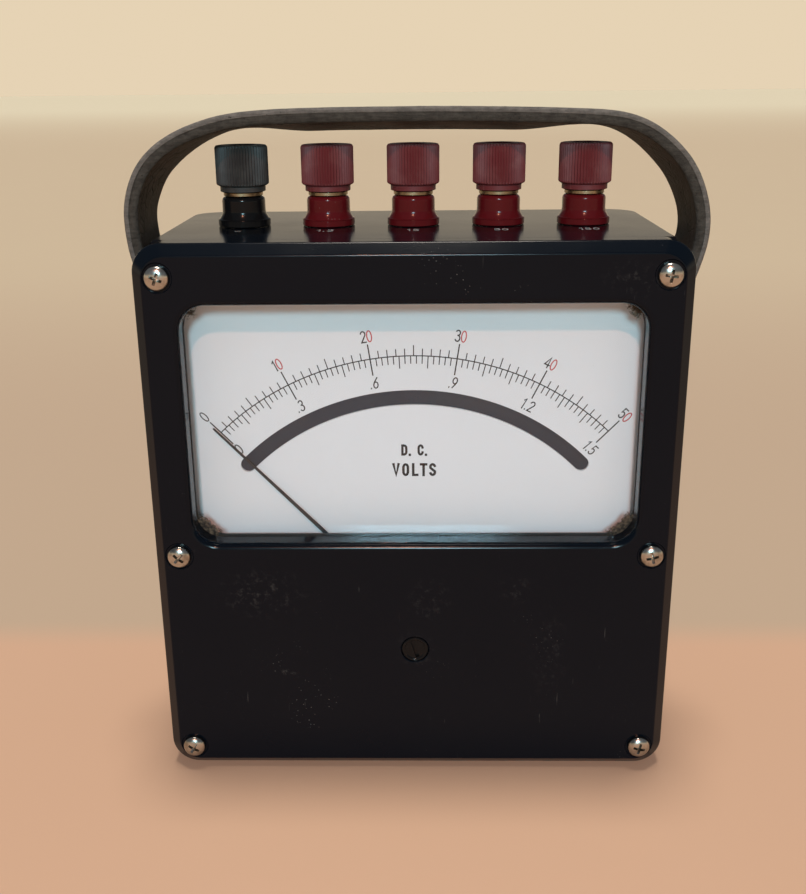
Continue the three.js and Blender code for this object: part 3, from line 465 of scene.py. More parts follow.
def leather_face(name, colour, scuff, crack_colour):
    """Old strap leather: pebbled grain, fine cracks, and grey scuffs where it is rubbed."""
    s = Shader(name)
    warp = s.node("ShaderNodeVectorMath", {"operation": "ADD"})
    s.feed(warp.inputs[0], s.place)
    jitter = s.node("ShaderNodeTexNoise", None, {"Vector": s.place, "Scale": 320.0, "Detail": 3.0})
    small = s.node("ShaderNodeVectorMath", {"operation": "SCALE"})
    s.feed(small.inputs[0], jitter.outputs["Color"])
    small.inputs["Scale"].default_value = 0.0016
    s.feed(warp.inputs[1], small.outputs[0])
    warped = warp.outputs[0]
    cracks = s.step(s.cells(230.0, "DISTANCE_TO_EDGE", warped), 0.09, 0.0)
    cracks = s.times(cracks, s.step(s.noise(60.0, 4.0), 0.42, 0.62))
    grain = s.cells(1500.0, "F1", warped)
    rubbed = s.step(s.noise(85.0, 7.0, 0.68), 0.45, 0.72)
    base = s.mix(rubbed, colour, scuff)
    s.set(Base_Color=s.mix(cracks, base, crack_colour))
    s.set(Roughness=s.between(s.noise(400.0), 0.55, 0.85), Specular_IOR_Level=0.3)
    height = s.math("ADD", s.times(grain, 0.35), s.times(cracks, -0.9))
    height = s.math("ADD", height, s.times(s.noise(500.0, 5.0, 0.7), 0.5))
    return s.bump(height, 0.75, 0.45).material


def leather_edge(name, colour, fibre):
    """The strap's cut edge: fibres that run along it, rough and matt."""
    s = Shader(name)
    run = s.noise(1.0, 6.0, 0.7, s.stretched((260.0, 1800.0, 1500.0)))
    lumps = s.noise(420.0, 6.0, 0.7)
    tone = s.step(s.math("ADD", s.times(run, 0.5), s.times(lumps, 0.5)), 0.35, 0.66)
    pits = s.step(s.noise(900.0, 4.0, 0.7), 0.36, 0.28)
    s.set(Base_Color=s.mix(pits, s.mix(tone, colour, fibre), (0.012, 0.011, 0.01)))
    s.set(Roughness=0.9, Specular_IOR_Level=0.15)
    return s.bump(s.math("ADD", lumps, run), 0.8, 0.5).material


def dial_paint(name):
    """Matt white enamel, slightly yellowed and speckled."""
    s = Shader(name)
    tone = s.mix(s.noise(26.0, 4.0), (0.79, 0.81, 0.835), (0.755, 0.775, 0.79))
    specks = s.times(s.step(s.cells(420.0), 0.06, 0.02), s.step(s.noise(60.0), 0.55, 0.7))
    spots = s.times(s.step(s.noise(700.0, 3.0), 0.74, 0.8), 0.5)
    s.set(Base_Color=s.mix(s.larger(specks, spots), tone, (0.3, 0.27, 0.23)))
    s.set(Roughness=0.6, Specular_IOR_Level=0.3)
    return s.bump(s.noise(1500.0, 2.0), 0.04, 0.05).material


def ink(name, colour, faded):
    s = Shader(name)
    s.set(Base_Color=s.mix(s.step(s.noise(1200.0, 3.0), 0.4, 0.8), colour, faded), Roughness=0.65)
    return s.material


def mirror_strip(name):
    """A weak mirror with a dull purple-grey sheen: its dark purple-grey base colour is a painted reflection of
    the dark surroundings.
    """
    s = Shader(name)
    tone = s.mix(s.noise(35.0, 4.0), (0.022, 0.034, 0.055), (0.03, 0.045, 0.068))
    s.set(Base_Color=tone, Metallic=0.35, Roughness=s.between(s.noise(90.0), 0.3, 0.42))
    return s.material


def window_glass(name):
    """Clear glass that reflects by its angle, with brown grime in the window's corners and along its foot."""
    s = Shader(name)
    half = GLASS_HIGH.x - WINDOW_MARGIN
    low = GLASS_LOW.z + WINDOW_MARGIN
    high = GLASS_HIGH.z - WINDOW_MARGIN
    y = GLASS_LOW.y
    dirt = 0.0
    bend = GRIME_CORNER
    for side, z, inwards, reach, amount in (
        (-1, low, 1, 12.0, 1.1), (1, low, 1, 12.5, 1.1), (-1, high, -1, 6.0, 0.8), (1, high, -1, 8.0, 0.95),
    ):
        centre = (side * (half - bend), y, z + inwards * bend)
        rim = s.step(s.near(centre, bend + 0.5), 0.3, 0.05)
        corner = s.near((side * (half - 2), y, z + inwards * 2), reach)
        dirt = s.larger(dirt, s.times(s.times(corner, rim), amount))
    foot = s.step(s.axis("Z"), (low + 1.6) * MM, low * MM)
    dirt = s.larger(dirt, s.times(foot, 0.45))
    outside = s.step(s.axis("Y"), (y + 0.6) * MM, (y + 0.3) * MM)
    ragged = s.times(s.noise(900.0, 8.0, 0.8), 1.6)
    dirt = s.step(s.math("ADD", s.times(dirt, outside), ragged), 1.3, 1.7)
    fresnel = s.node("ShaderNodeFresnel", None, {"IOR": 1.45}).outputs["Fac"]
    smear = s.times(s.step(s.noise(28.0, 5.0), 0.5, 0.8), 0.012)
    clear = s.math("ADD", s.times(fresnel, 0.8), smear)
    alpha = s.larger(clear, s.times(dirt, 0.97))
    grime = s.mix(s.step(s.noise(1100.0, 5.0), 0.4, 0.65), (0.014, 0.011, 0.008), (0.12, 0.09, 0.058))
    soiled = s.step(dirt, 0.0, 0.05)
    s.set(Base_Color=s.mix(soiled, (0.9, 0.95, 1.0), grime))
    s.set(Metallic=s.step(dirt, 0.05, 0.0), Roughness=s.between(dirt, 0.02, 0.9), Alpha=alpha)
    return s.material


def wound_wire(name):
    """Enamelled copper wire, its turns side by side round the coil."""
    s = Shader(name)
    turns = s.node("ShaderNodeTexWave", {"bands_direction": "DIAGONAL"}, {"Vector": s.place, "Scale": 900.0})
    s.set(Base_Color=s.mix(turns.outputs["Fac"], (0.2, 0.05, 0.02), (0.5, 0.2, 0.09)))
    s.set(Metallic=0.8, Roughness=0.35)
    return s.bump(turns.outputs["Fac"], 0.5, 0.1).material


def laminate(name):
    s = Shader(name)
    fibres = s.noise(1.0, 5.0, 0.6, s.stretched((400.0, 400.0, 2600.0)))
    s.set(Base_Color=s.mix(fibres, (0.1, 0.045, 0.02), (0.2, 0.1, 0.045)))
    s.set(Roughness=s.between(s.noise(90.0), 0.4, 0.6))
    return s.bump(fibres, 0.2, 0.1).material


SMUDGES = (
    ((-45.0, FRONT, 59.0), 13.0, (0.75, 1.0, 1.3), 0.10),
    ((4.0, FRONT, 57.0), 11.0, (1.2, 1.0, 1.2), 0.07),
    ((30.0, FRONT, 60.0), 8.0, (1.0, 1.0, 1.4), 0.06),
    ((40.0, FRONT, 39.0), 16.0, (2.2, 1.0, 0.8), 0.05),
    ((0.0, FRONT, 41.0), 7.5, (1.0, 1.0, 1.0), 0.10),
    ((60.0, FRONT, 151.0), 11.0, (0.8, 1.0, 1.6), 0.07),
    ((-38.0, FRONT, 33.0), 3.0, (1.0, 1.0, 2.0), 0.3),
)

MATERIALS = {
    # The faint blue in this black base colour is a painted tint standing in for cool reflections on the cover
    # and case.
    "black": phenolic("black_phenolic", (0.0012, 0.0034, 0.0072), (0.32, 0.31, 0.29), SMUDGES),
    "panel_black": phenolic("black_base", (0.006, 0.006, 0.0065), (0.3, 0.3, 0.29), (), 0.1, 1.4),
    "red": phenolic("red_phenolic", (0.105, 0.0065, 0.009), (0.42, 0.3, 0.27), (), 0.12, 1.2),
    "black_cap": cap_moulding("black_cap_moulding", (0.024, 0.024, 0.024), (0.10, 0.098, 0.092)),
    "red_cap": cap_moulding("red_cap_moulding", (0.135, 0.018, 0.022), (0.24, 0.10, 0.095)),
    "nickel": metal("nickel_plate", (0.52, 0.5, 0.46), (0.27, 0.25, 0.22), 0.2, 420.0),
    "brass": metal("turned_brass", (0.4, 0.31, 0.19), (0.14, 0.1, 0.065), 0.35, 380.0),
    "steel": metal("polished_steel", (0.55, 0.55, 0.55), (0.4, 0.4, 0.4), 0.2),
    "bronze": metal("spring_bronze", (0.55, 0.34, 0.17), (0.3, 0.17, 0.08), 0.3),
    "aluminium": metal("cast_aluminium", (0.6, 0.61, 0.62), (0.42, 0.43, 0.44), 0.45, 160.0),
    "iron": metal("soft_iron", (0.25, 0.24, 0.23), (0.13, 0.11, 0.09), 0.4, 200.0),
    "magnet": metal("magnet_steel", (0.09, 0.095, 0.1), (0.04, 0.04, 0.045), 0.45, 140.0),
    "leather": leather_face("strap_grain", (0.05, 0.05, 0.046), (0.11, 0.107, 0.098), (0.012, 0.012, 0.011)),
    "leather_inside": leather_face(
        "strap_flesh", (0.055, 0.043, 0.034), (0.095, 0.075, 0.058), (0.015, 0.013, 0.01)
    ),
    "edge_outer": leather_edge("strap_edge_outer", (0.10, 0.095, 0.087), (0.19, 0.178, 0.162)),
    "edge_inner": leather_edge("strap_edge_inner", (0.035, 0.032, 0.028), (0.075, 0.07, 0.06)),
    "dial": dial_paint("dial_enamel"),
    "mirror": mirror_strip("mirror_painted_reflection"),
    "ink_black": ink("black_ink", (0.006, 0.006, 0.009), (0.022, 0.022, 0.026)),
    "ink_red": ink("red_ink", (0.5, 0.04, 0.05), (0.55, 0.11, 0.11)),
    "marking_white": ink("white_filling", (0.75, 0.75, 0.72), (0.25, 0.25, 0.24)),
    "needle": ink("needle_paint", (0.01, 0.01, 0.012), (0.03, 0.03, 0.035)),
    "glass": window_glass("clear_glass"),
    "gasket": cap_moulding("gasket_rubber", (0.02, 0.018, 0.016), (0.06, 0.055, 0.05)),
    "copper": wound_wire("copper_winding"),
    "board": laminate("brown_laminate"),
}


def finish_piece(obj, material, body, slot, *nodes):
    """Gives a piece its material, rides it on its body and lets it stand for CAD nodes."""
    if not obj.data.materials:
        obj.data.materials.append(MATERIALS[material])
    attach(obj, body)
    if nodes:
        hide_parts(*nodes)
    return obj


# ---- cover and case


def cover_outline(inset):
    side = COVER_HIGH.x - inset
    radius = COVER_CORNER - inset * CORNER_DRAW
    return rounded_rect(-side, side, COVER_LOW.z + inset, COVER_HIGH.z - inset, radius)


def window_outline(spread):
    side = GLASS_HIGH.x - WINDOW_MARGIN + spread
    low = GLASS_LOW.z + WINDOW_MARGIN - spread
    high = GLASS_HIGH.z - WINDOW_MARGIN + spread
    return rounded_rect(-side, side, low, high, WINDOW_CORNER + spread)


def edge_profile():
    """(inset, depth) of the cover's front edge: a fillet, a 45 degree bevel and a second fillet."""
    front = [(BEVEL - x, BEVEL_FILLET - z) for z, x in arc(BEVEL_FILLET, 0, 45, 5)]
    back = [(BEVEL_FILLET - x, BEVEL - z) for z, x in arc(BEVEL_FILLET, 45, 90, 5)]
    return front + back


def screw_name(row, side):
    return f"cover_screw_{row}_{side}"


def eased_mouth(radius):
    """The start of a round recess in the cover's face, its edge broken."""
    wide = radius + MOUTH_EASE
    return [(0, -1), (wide, -1), (wide, 0), (radius, MOUTH_EASE)]


def front_cover():
    depth = COVER_HIGH.y - FRONT
    sections = [(cover_outline(inset), at) for inset, at in edge_profile()]
    body = front_loft("cover_moulding", [*sections, (cover_outline(0), depth)])
    lip = [(LIP_RADIUS - x, LIP_RADIUS - z) for z, x in arc(LIP_RADIUS, 0, 90, 10)]
    opening = [(LIP_RADIUS, -1.0), *lip, (0.0, depth + 1)]
    cut(body, front_loft("opening", [(window_outline(spread), at) for spread, at in opening]))
    pocket = window_outline(WINDOW_MARGIN + 0.3)
    cut(body, front_loft("pocket", [(pocket, GLASS_LOW.y - FRONT - 0.15), (pocket, depth + 1)]))
    half, low, high, plate = COVER_CAVITY
    cavity = rounded_rect(-half, half, low, high, 4.0)
    cut(body, front_loft("cavity", [(cavity, plate), (cavity, depth + 1)]))
    for row in ROWS:
        for side in SIDES:
            place = centre_mm(screw_name(row, side))
            profile = [*eased_mouth(SINK_RADIUS), (SINK_RADIUS, SINK_DEPTH), (0, SINK_DEPTH)]
            cut(body, turned("sink", profile, (place.x, FRONT, place.z), "y", 40))
    spot = (0, FRONT, centre_mm("zero_adjuster").z)
    boss = [(0, plate - 1), (BOSS_RADIUS, plate - 1), (BOSS_RADIUS, BOSS_BACK), (0, BOSS_BACK)]
    combine(body, turned("boss", boss, spot, "y", 48), "UNION")
    recess = [*eased_mouth(RECESS_RADIUS), (RECESS_RADIUS, RECESS_DEPTH), (SPINDLE_BORE, RECESS_DEPTH)]
    recess += [(SPINDLE_BORE, BOSS_BACK + 1), (0, BOSS_BACK + 1)]
    cut(body, turned("recess", recess, spot, "y", 48))
    smooth(body, 32)
    return finish_piece(body, "black", "case", "black_moulding", "front_cover")


def case_plan(inset):
    """The case body seen from above: square in front, rounded at the back."""
    half = CASE_HALF - inset
    back = CASE_HIGH.y - inset
    front = CASE_LOW.y
    radius = CASE_BACK_CORNER - inset * 0.5
    points = [(-half, front), (half, front)]
    points += arc(radius, 0, 90, 14, (half - radius, back - radius))
    points += arc(radius, 90, 180, 14, (-half + radius, back - radius))
    return points


def rear_case():
    fillet = [(CASE_EDGE - x, CASE_EDGE - z) for z, x in arc(CASE_EDGE, 0, 90, 5)]
    top = CASE_HIGH.z
    levels = [(inset, rise) for inset, rise in fillet]
    levels += [(inset, top - rise) for inset, rise in reversed(fillet)]
    body = loft("case_moulding", [[(x, y, z) for x, y in case_plan(inset)] for inset, z in levels])
    start = CASE_LOW.y - FRONT
    flange = front_loft(
        "flange",
        [
            (cover_outline(0.35), start),
            (cover_outline(0.0), start + 0.35),
            (cover_outline(0.0), start + FLANGE - 0.5),
            (cover_outline(0.5), start + FLANGE),
        ],
    )
    combine(body, flange, "UNION")
    ring = [(x, y) for x, y in case_plan(CASE_WALL)]
    hollow = loft(
        "hollow",
        [
            [(x, y - (1 if y <= CASE_LOW.y else 0), z) for x, y in ring]
            for z in (CASE_WALL, top - CASE_WALL)
        ],
    )
    cut(body, hollow)
    smooth(body, 32)
    return finish_piece(body, "black", "case", "black_moulding", "rear_case")


# ---- screws and the zero adjuster


def cross_cutter(top, depth, arm, half):
    """A tapered cross recess that opens towards -Y."""
    outline = [
        (half, arm), (half, half), (arm, half), (arm, -half), (half, -half), (half, -arm),
        (-half, -arm), (-half, -half), (-arm, -half), (-arm, half), (-half, half), (-half, arm),
    ]
    rings = []
    for y, scale in ((top - 1.0, 1.0), (top, 1.0), (top + depth, 0.42)):
        rings.append([(x * scale, y, z * scale) for x, z in outline])
    return loft("cross", rings)


def cover_screw(row, side, turn_degrees):
    name = screw_name(row, side)
    low, high = box_mm(name)
    x, z = (low.x + high.x) / 2, (low.z + high.z) / 2
    radius = (high.x - low.x) / 2
    top = low.y
    seat = FRONT + SINK_DEPTH - 0.15
    rise = seat - 0.55 - top
    dome = [(radius * math.sin(t), top + rise * (1 - math.cos(t) ** 0.8)) for t in
            (math.radians(90 * i / 12) for i in range(13))]
    profile = [(r, y - FRONT) for r, y in dome]
    profile[0] = (0, top - FRONT)
    profile += [(radius, seat - 0.12 - FRONT), (radius - 0.12, seat - FRONT), (1.65, seat - FRONT)]
    profile += [(1.65, high.y - 1 - FRONT), (0, high.y - FRONT)]
    screw = turned("screw_" + row + "_" + side, profile, (0, FRONT, 0), "y", 48)
    cutter = cross_cutter(top, 1.5, 1.95, 0.42)
    cut(screw, cutter)
    turn = Matrix.Rotation(math.radians(turn_degrees), 4, "Y")
    screw.data.transform(Matrix.Translation(Vector((x, 0, z)) * MM) @ turn)
    smooth(screw, 30)
    return finish_piece(screw, "nickel", "case", "nickel", name)


SCREW_TURNS = {
    ("top", "left"): 22, ("top", "right"): 8, ("middle", "left"): 40,
    ("middle", "right"): -14, ("bottom", "left"): 30, ("bottom", "right"): 12,
}


def zero_adjuster():
    z = centre_mm("zero_adjuster").z
    profile = [
        (0, 0.35), (2.9, 0.35), (3.15, 0.1), (3.35, 0.0), (3.6, 0.0), (3.85, 0.2), (3.9, 0.5),
        (3.9, BUTTON_BACK), (SPINDLE_RADIUS, BUTTON_BACK), (SPINDLE_RADIUS, CRANK_FRONT),
        (CRANK_RADIUS, CRANK_FRONT), (CRANK_RADIUS, CRANK_BACK), (0, CRANK_BACK),
    ]
    button = turned("zero_adjuster_button", profile, (0, FRONT, z), "y", 56)
    half, reach, deep = DRIVER_SLOT
    slot = block("slot", (-half, FRONT - 1, -reach), (half, FRONT + deep, reach))
    turn = Matrix.Rotation(math.radians(ADJUSTER_TURN), 4, "Y")
    slot.data.transform(Matrix.Translation((0, 0, z * MM)) @ turn)
    cut(button, slot)
    pin_line = [(0, CRANK_BACK - 0.3), (PIN_RADIUS, CRANK_BACK - 0.3), (PIN_RADIUS, PIN_BACK), (0, PIN_BACK)]
    pin = turned("pin", pin_line, (0, FRONT, z - PIN_OFFSET), "y", 20)
    combine(button, pin, "UNION")
    smooth(button, 32)
    return finish_piece(button, "panel_black", "zero_adjuster", "black_moulding", "zero_adjuster")


# ---- terminals


def post_base(name, x, y):
    """A flared foot, a plain body and a rounded shoulder, as (radius, height above the panel)."""
    outer = box_mm("post_base_" + name)[1].x - x
    body = POST_BODY_RADIUS
    profile = [(POST_BORE, 0.15), (outer - 0.2, 0.15), (outer, 0.35), (outer, 2.0)]
    profile += [(outer - 0.4 + r, 1.85 + h) for r, h in arc(0.4, 0, 90, 4)]
    profile += [(body + 0.7, 2.7), (body + 0.3, 3.4), (body + 0.08, 4.1), (body, 4.6), (body, 7.3)]
    profile += [(body - 1.2 + r, 7.4 + h) for r, h in arc(1.2, 0, 90, 6)]
    profile += [(POST_BORE, POST_TOP), (POST_BORE, 0.15)]
    base = turned("terminal_base_" + name, profile, (x, y, PANEL), "z", 72)
    smooth(base, 40)
    black = name == "black"
    material = "panel_black" if black else "red"
    slot = "black_moulding" if black else "red_moulding"
    return finish_piece(base, material, "case", slot, "post_base_" + name)


def clamp_ring(name, x, y):
    """The thumb nut: a thin ring that shows under the cap, and a sleeve up inside it."""
    profile = [
        (POST_BORE, 8.75), (5.5, 8.75), (5.75, 8.95), (5.75, 9.75), (5.55, 9.9), (4.2, 9.9),
        (4.2, 17), (POST_BORE, 17), (POST_BORE, 8.75),
    ]
    ring = turned("clamp_ring_" + name, profile, (x, y, PANEL), "z", 56)
    smooth(ring, 40)
    return finish_piece(ring, "brass", "thumb_nut_" + name, "brass", "cap_insert_" + name)


def fluted_cap(name, x, y):
    """The thumb cap: a plain collar, then fine flutes between two chamfers."""
    outer = box_mm("post_cap_" + name)[1].x - x
    top = box_mm("post_cap_" + name)[1].z - PANEL
    # (radius, height, share of the flute's depth)
    rows = [
        (4.45, 10.0, 0), (6.35, 10.0, 0), (6.6, 10.15, 0), (6.6, 11.5, 0), (6.75, 11.6, 0),
        (outer - 0.2, 12.0, 0.4), (outer, 12.3, 1), (outer, 12.6, 1), (outer, top - 0.8, 1),
        (outer - 0.1, top - 0.5, 1), (outer - 0.4, top - 0.1, 0.4), (outer - 0.8, top, 0),
        (4.2, top, 0), (3.9, top - 0.3, 0), (3.45, top - 0.5, 0), (3.45, 17.25, 0), (4.45, 17.25, 0),
    ]
    count = CAP_FLUTES * FLUTE_POINTS
    points = []
    for radius, height, share in rows:
        for i in range(count):
            wave = 0.5 - 0.5 * math.cos(TURN * i / FLUTE_POINTS)
            at = radius - FLUTE_DEPTH * share * wave ** 0.8
            angle = TURN * i / count
            points.append((x + at * math.cos(angle), y + at * math.sin(angle), PANEL + height))
    cap = make_object("thumb_cap_" + name, points, band_faces(len(rows), count, True))
    face_outwards(cap)
    smooth(cap, 48, False)
    black = name == "black"
    material = "black_cap" if black else "red_cap"
    return finish_piece(cap, material, "thumb_cap_" + name, material, "post_cap_" + name)


def stud(name, x, y):
    """The terminal's stud with its plug socket, fine threads and the nut under the panel."""
    low, high = box_mm("post_stud_" + name)
    bottom, top = low.z - PANEL, high.z - PANEL
    profile = [(0, bottom), (2.6, bottom)]
    height = bottom + 0.3
    while height < top - 0.8:
        profile += [(3.1, height), (2.75, height + THREAD_PITCH / 2)]
        height += THREAD_PITCH
    profile += [(2.9, top - 0.3), (2.6, top), (2.2, top), (2.05, top - 0.2), (2.05, top - 8), (0, top - 8)]
    rod = turned("terminal_stud_" + name, profile, (x, y, PANEL), "z", 36)
    under = -CASE_WALL - 0.15
    foot = under - WASHER_THICKNESS - NUT_HEIGHT
    flat = [(0, under - WASHER_THICKNESS), (WASHER_RADIUS, under - WASHER_THICKNESS)]
    washer = turned("washer", [*flat, (WASHER_RADIUS, under), (0, under)], (x, y, PANEL), "z", 48)
    sides = [(NUT_RADIUS - 0.4, foot), (NUT_RADIUS, foot + 0.4), (NUT_RADIUS, under - 0.7)]
    nut = turned("nut", [(0, foot), *sides, (0, under - 0.7)], (x, y, PANEL), "z", 6)
    combine(rod, washer, "UNION")
    combine(rod, nut, "UNION")
    smooth(rod, 50)
    return finish_piece(rod, "brass", "case", "brass", "post_stud_" + name)


# ---- strokes for numerals and letters


def bow(cx, cy, rx, ry, start, end, steps=12):
    """Points on an ellipse between two angles in degrees."""
    points = []
    for i in range(steps + 1):
        angle = math.radians(start + (end - start) * i / steps)
        points.append((cx + rx * math.cos(angle), cy + ry * math.sin(angle)))
    return points


SIGN_GAP = 0.14

# Each sign is a list of strokes in a cell 1 high; its width comes first.
SIGNS = {
    "0": (0.44, [bow(0.22, 0.5, 0.2, 0.48, 90, 450, 24)]),
    "1": (0.24, [[(0.02, 0.8), (0.16, 0.97), (0.16, 0.02)]]),
    "2": (0.44, [bow(0.22, 0.74, 0.19, 0.24, 165, -25, 12) + [(0.03, 0.03), (0.42, 0.03)]]),
    "3": (0.44, [bow(0.21, 0.76, 0.18, 0.22, 150, -90, 12), bow(0.21, 0.28, 0.2, 0.26, 90, -150, 14)]),
    "4": (0.46, [[(0.33, 0.02), (0.33, 0.98), (0.02, 0.28), (0.45, 0.28)]]),
    "5": (0.44, [[(0.4, 0.97), (0.09, 0.97), (0.06, 0.52)] + bow(0.21, 0.32, 0.2, 0.3, 130, -145, 14)]),
    "6": (0.44, [[(0.36, 0.97), (0.12, 0.6)] + bow(0.22, 0.3, 0.19, 0.28, 150, 510, 22)]),
    "9": (0.44, [[(0.08, 0.03), (0.32, 0.4)] + bow(0.22, 0.7, 0.19, 0.28, -30, 330, 22)]),
    ".": (0.14, [[(0.06, 0.02), (0.06, 0.075)]]),
    " ": (0.3, []),
    "-": (0.5, [[(0.05, 0.45), (0.45, 0.45)]]),
    "D": (0.5, [[(0.08, 0.08), (0.08, 0.92), (0.2, 0.92)] + bow(0.2, 0.67, 0.22, 0.25, 90, 0, 6)
               + bow(0.2, 0.33, 0.22, 0.25, 0, -90, 6) + [(0.08, 0.08)]]),
    "C": (0.48, [bow(0.24, 0.66, 0.17, 0.26, 10, 180, 10) + bow(0.24, 0.34, 0.17, 0.26, 180, 350, 10)]),
    "V": (0.52, [[(0.06, 0.95), (0.25, 0.08), (0.44, 0.95)]]),
    "O": (0.52, [bow(0.25, 0.66, 0.17, 0.26, 0, 180, 10) + bow(0.25, 0.34, 0.17, 0.26, 180, 360, 10)
               + [(0.42, 0.66)]]),
    "L": (0.44, [[(0.1, 0.95), (0.1, 0.08), (0.42, 0.08)]]),
    "T": (0.48, [[(0.03, 0.92), (0.45, 0.92)], [(0.24, 0.92), (0.24, 0.05)]]),
    "S": (0.48, [bow(0.24, 0.71, 0.17, 0.21, 20, 200, 10) + bow(0.24, 0.29, 0.17, 0.21, 20, -160, 10)]),
}


def ribbon(path, width):
    """A flat strip of constant width along a path, as points and faces in two dimensions."""
    half = width / 2
    closed = math.dist(path[0], path[-1]) < 1e-6
    if closed:
        path = path[:-1]
    count = len(path)
    points = []
    for i, (x, y) in enumerate(path):
        before = path[i - 1] if i or closed else path[i]
        after = path[(i + 1) % count] if i + 1 < count or closed else path[i]
        a = Vector((x - before[0], y - before[1]))
        b = Vector((after[0] - x, after[1] - y))
        a = a.normalized() if a.length > 1e-9 else b.normalized()
        b = b.normalized() if b.length > 1e-9 else a
        along = (a + b).normalized() if (a + b).length > 1e-6 else a
        stretch = 1 / max(0.5, along.dot(a))
        end = 0.0
        if not closed and i in (0, count - 1):
            end = -half * 0.8 if i == 0 else half * 0.8
        side = Vector((-along.y, along.x)) * half * stretch
        here = Vector((x, y)) + along * end
        points.append(tuple(here + side))
        points.append(tuple(here - side))
    faces = []
    for i in range(count if closed else count - 1):
        j = (i + 1) % count
        faces.append((2 * i, 2 * i + 1, 2 * j + 1, 2 * j))
    return points, faces


class Printing:
    """Flat strips collected into one mesh, printed on a surface."""

    def __init__(self):
        self.points = []
        self.faces = []

    def strip(self, path, width, place):
        """place turns a flat (x, y) point into a 3-D point."""
        points, faces = ribbon(path, width)
        start = len(self.points)
        self.points += [place(p) for p in points]
        self.faces += [tuple(start + i for i in face) for face in faces]

    def text(self, words, height, stroke, place, spacing=SIGN_GAP, lean=0.0, squeeze=1.0):
        """Words centred on the origin of the place given."""
        total = sum(SIGNS[c][0] for c in words) + spacing * (len(words) - 1)
        left = -total / 2
        for c in words:
            width, strokes = SIGNS[c]
            for path in strokes:
                moved = []
                for x, y in path:
                    across = (left + x + lean * (y - 0.5)) * height * squeeze
                    moved.append((across, (y - 0.5) * height))
                self.strip(moved, stroke, place)
            left += width + spacing

    def finish(self, name, material, body, slot, thickness, out):
        """Gives the strips a little thickness, away from the surface, and rides them."""
        obj = make_object(name, self.points, self.faces)
        mesh = bmesh.new()
        mesh.from_mesh(obj.data)
        for face in mesh.faces:
            if face.normal.dot(Vector(out)) < 0:
                face.normal_flip()
        mesh.to_mesh(obj.data)
        mesh.free()
        solid = obj.modifiers.new("thickness", "SOLIDIFY")
        solid.thickness = thickness * MM
        solid.offset = 1.0
        bake_modifiers(obj)
        return finish_piece(obj, material, body, slot)


# ---- dial


def scale_place(angle, radius):
    """Turns a flat point into one on the dial, its origin at an angle and radius about the pivot."""
    y = DIAL_LOW.y - PRINT_RAISE

    def place(point):
        along = radius + point[1]
        across = point[0]
        x = along * math.sin(angle) + across * math.cos(angle)
        z = along * math.cos(angle) - across * math.sin(angle)
        return (PIVOT.x + x, y, PIVOT.z + z)

    return place


def dial_place(x0, z0):
    y = DIAL_LOW.y - PRINT_RAISE
    return lambda point: (x0 + point[0], y, z0 + point[1])


def scale_angle(share):
    return (2 * share - 1) * SCALE_HALF_ANGLE


def tick(printing, angle, inner, outer, width):
    printing.strip([(0, inner), (0, outer)], width, scale_place(angle, 0))


def printed_scale():
    black = Printing()
    line = [(SCALE_RADIUS * math.sin(scale_angle(i / 160)), SCALE_RADIUS * math.cos(scale_angle(i / 160)))
            for i in range(161)]
    black.strip(line, 0.3, dial_place(PIVOT.x, PIVOT.z))
    for i in range(51):
        kind = "ten" if i % 10 == 0 else "five" if i % 5 == 0 else "minor"
        tick(black, scale_angle(i / 50), SCALE_RADIUS, OUTER_TICKS[kind], BOLD if kind == "ten" else FINE)
    for i in range(76):
        kind = "major" if i % 15 == 0 else "medium" if i % 5 == 0 else "minor"
        tick(black, scale_angle(i / 75), INNER_TICKS[kind], SCALE_RADIUS, BOLD if kind == "major" else FINE)
    red = Printing()
    height = OUTER_NUMERAL_HEIGHT
    for i in range(6):
        place = scale_place(scale_angle(i / 5), OUTER_NUMERAL_RADIUS)
        if i == 0:
            black.text("0", height, 0.3, place)
            continue
        step = (SIGNS["0"][0] + SIGN_GAP) / 2 * height
        before = SIGNS[str(i)][0] * height / 2
        black.text(str(i), height, 0.36, lambda p, f=place: f((p[0] - step + 0.2 - before * 0.1, p[1])))
        red.text("0", height, 0.32, lambda p, f=place, s=before: f((p[0] + s + 0.15, p[1])))
    for i, words in enumerate(("0", ".3", ".6", ".9", "1.2", "1.5")):
        place = scale_place(scale_angle(i / 5), INNER_NUMERAL_RADIUS)
        black.text(words, INNER_NUMERAL_HEIGHT, 0.34, place, 0.13, 0.08)
    black.text("D. C.", 3.3, 0.68, dial_place(0, CURRENT_WORD_Z), 0.16, 0.0, 1.02)
    black.text("VOLTS", 3.9, 0.74, dial_place(0, UNIT_WORD_Z), 0.2)
    out = (0, -1, 0)
    black.finish("scale_printing_black", "ink_black", "case", "needle_paint", 0.02, out)
    red.finish("scale_printing_red", "ink_red", "case", "red_moulding", 0.02, out)


def flat_plate(name, outer, holes, y, thickness):
    """A flat plate in X and Z with holes, made as a filled curve and turned into a mesh."""
    curve = bpy.data.curves.new(name, "CURVE")
    curve.dimensions = "2D"
    curve.fill_mode = "BOTH"
    curve.extrude = thickness / 2 * MM
    for loop in (outer, *holes):
        spline = curve.splines.new("POLY")
        spline.points.add(len(loop) - 1)
        for point, (x, z) in zip(spline.points, loop):
            point.co = (x * MM, z * MM, 0, 1)
        spline.use_cyclic_u = True
    source = bpy.data.objects.new(name + "_curve", curve)
    bpy.context.scene.collection.objects.link(source)
    graph = bpy.context.evaluated_depsgraph_get()
    mesh = bpy.data.meshes.new_from_object(source.evaluated_get(graph))
    bpy.data.objects.remove(source)
    mesh.name = name
    mesh.transform(Matrix.Rotation(math.pi / 2, 4, "X"))
    mesh.transform(Matrix.Translation((0, (y + thickness / 2) * MM, 0)))
    obj = bpy.data.objects.new(name, mesh)
    bpy.context.scene.collection.objects.link(obj)
    face_outwards(obj)
    return obj


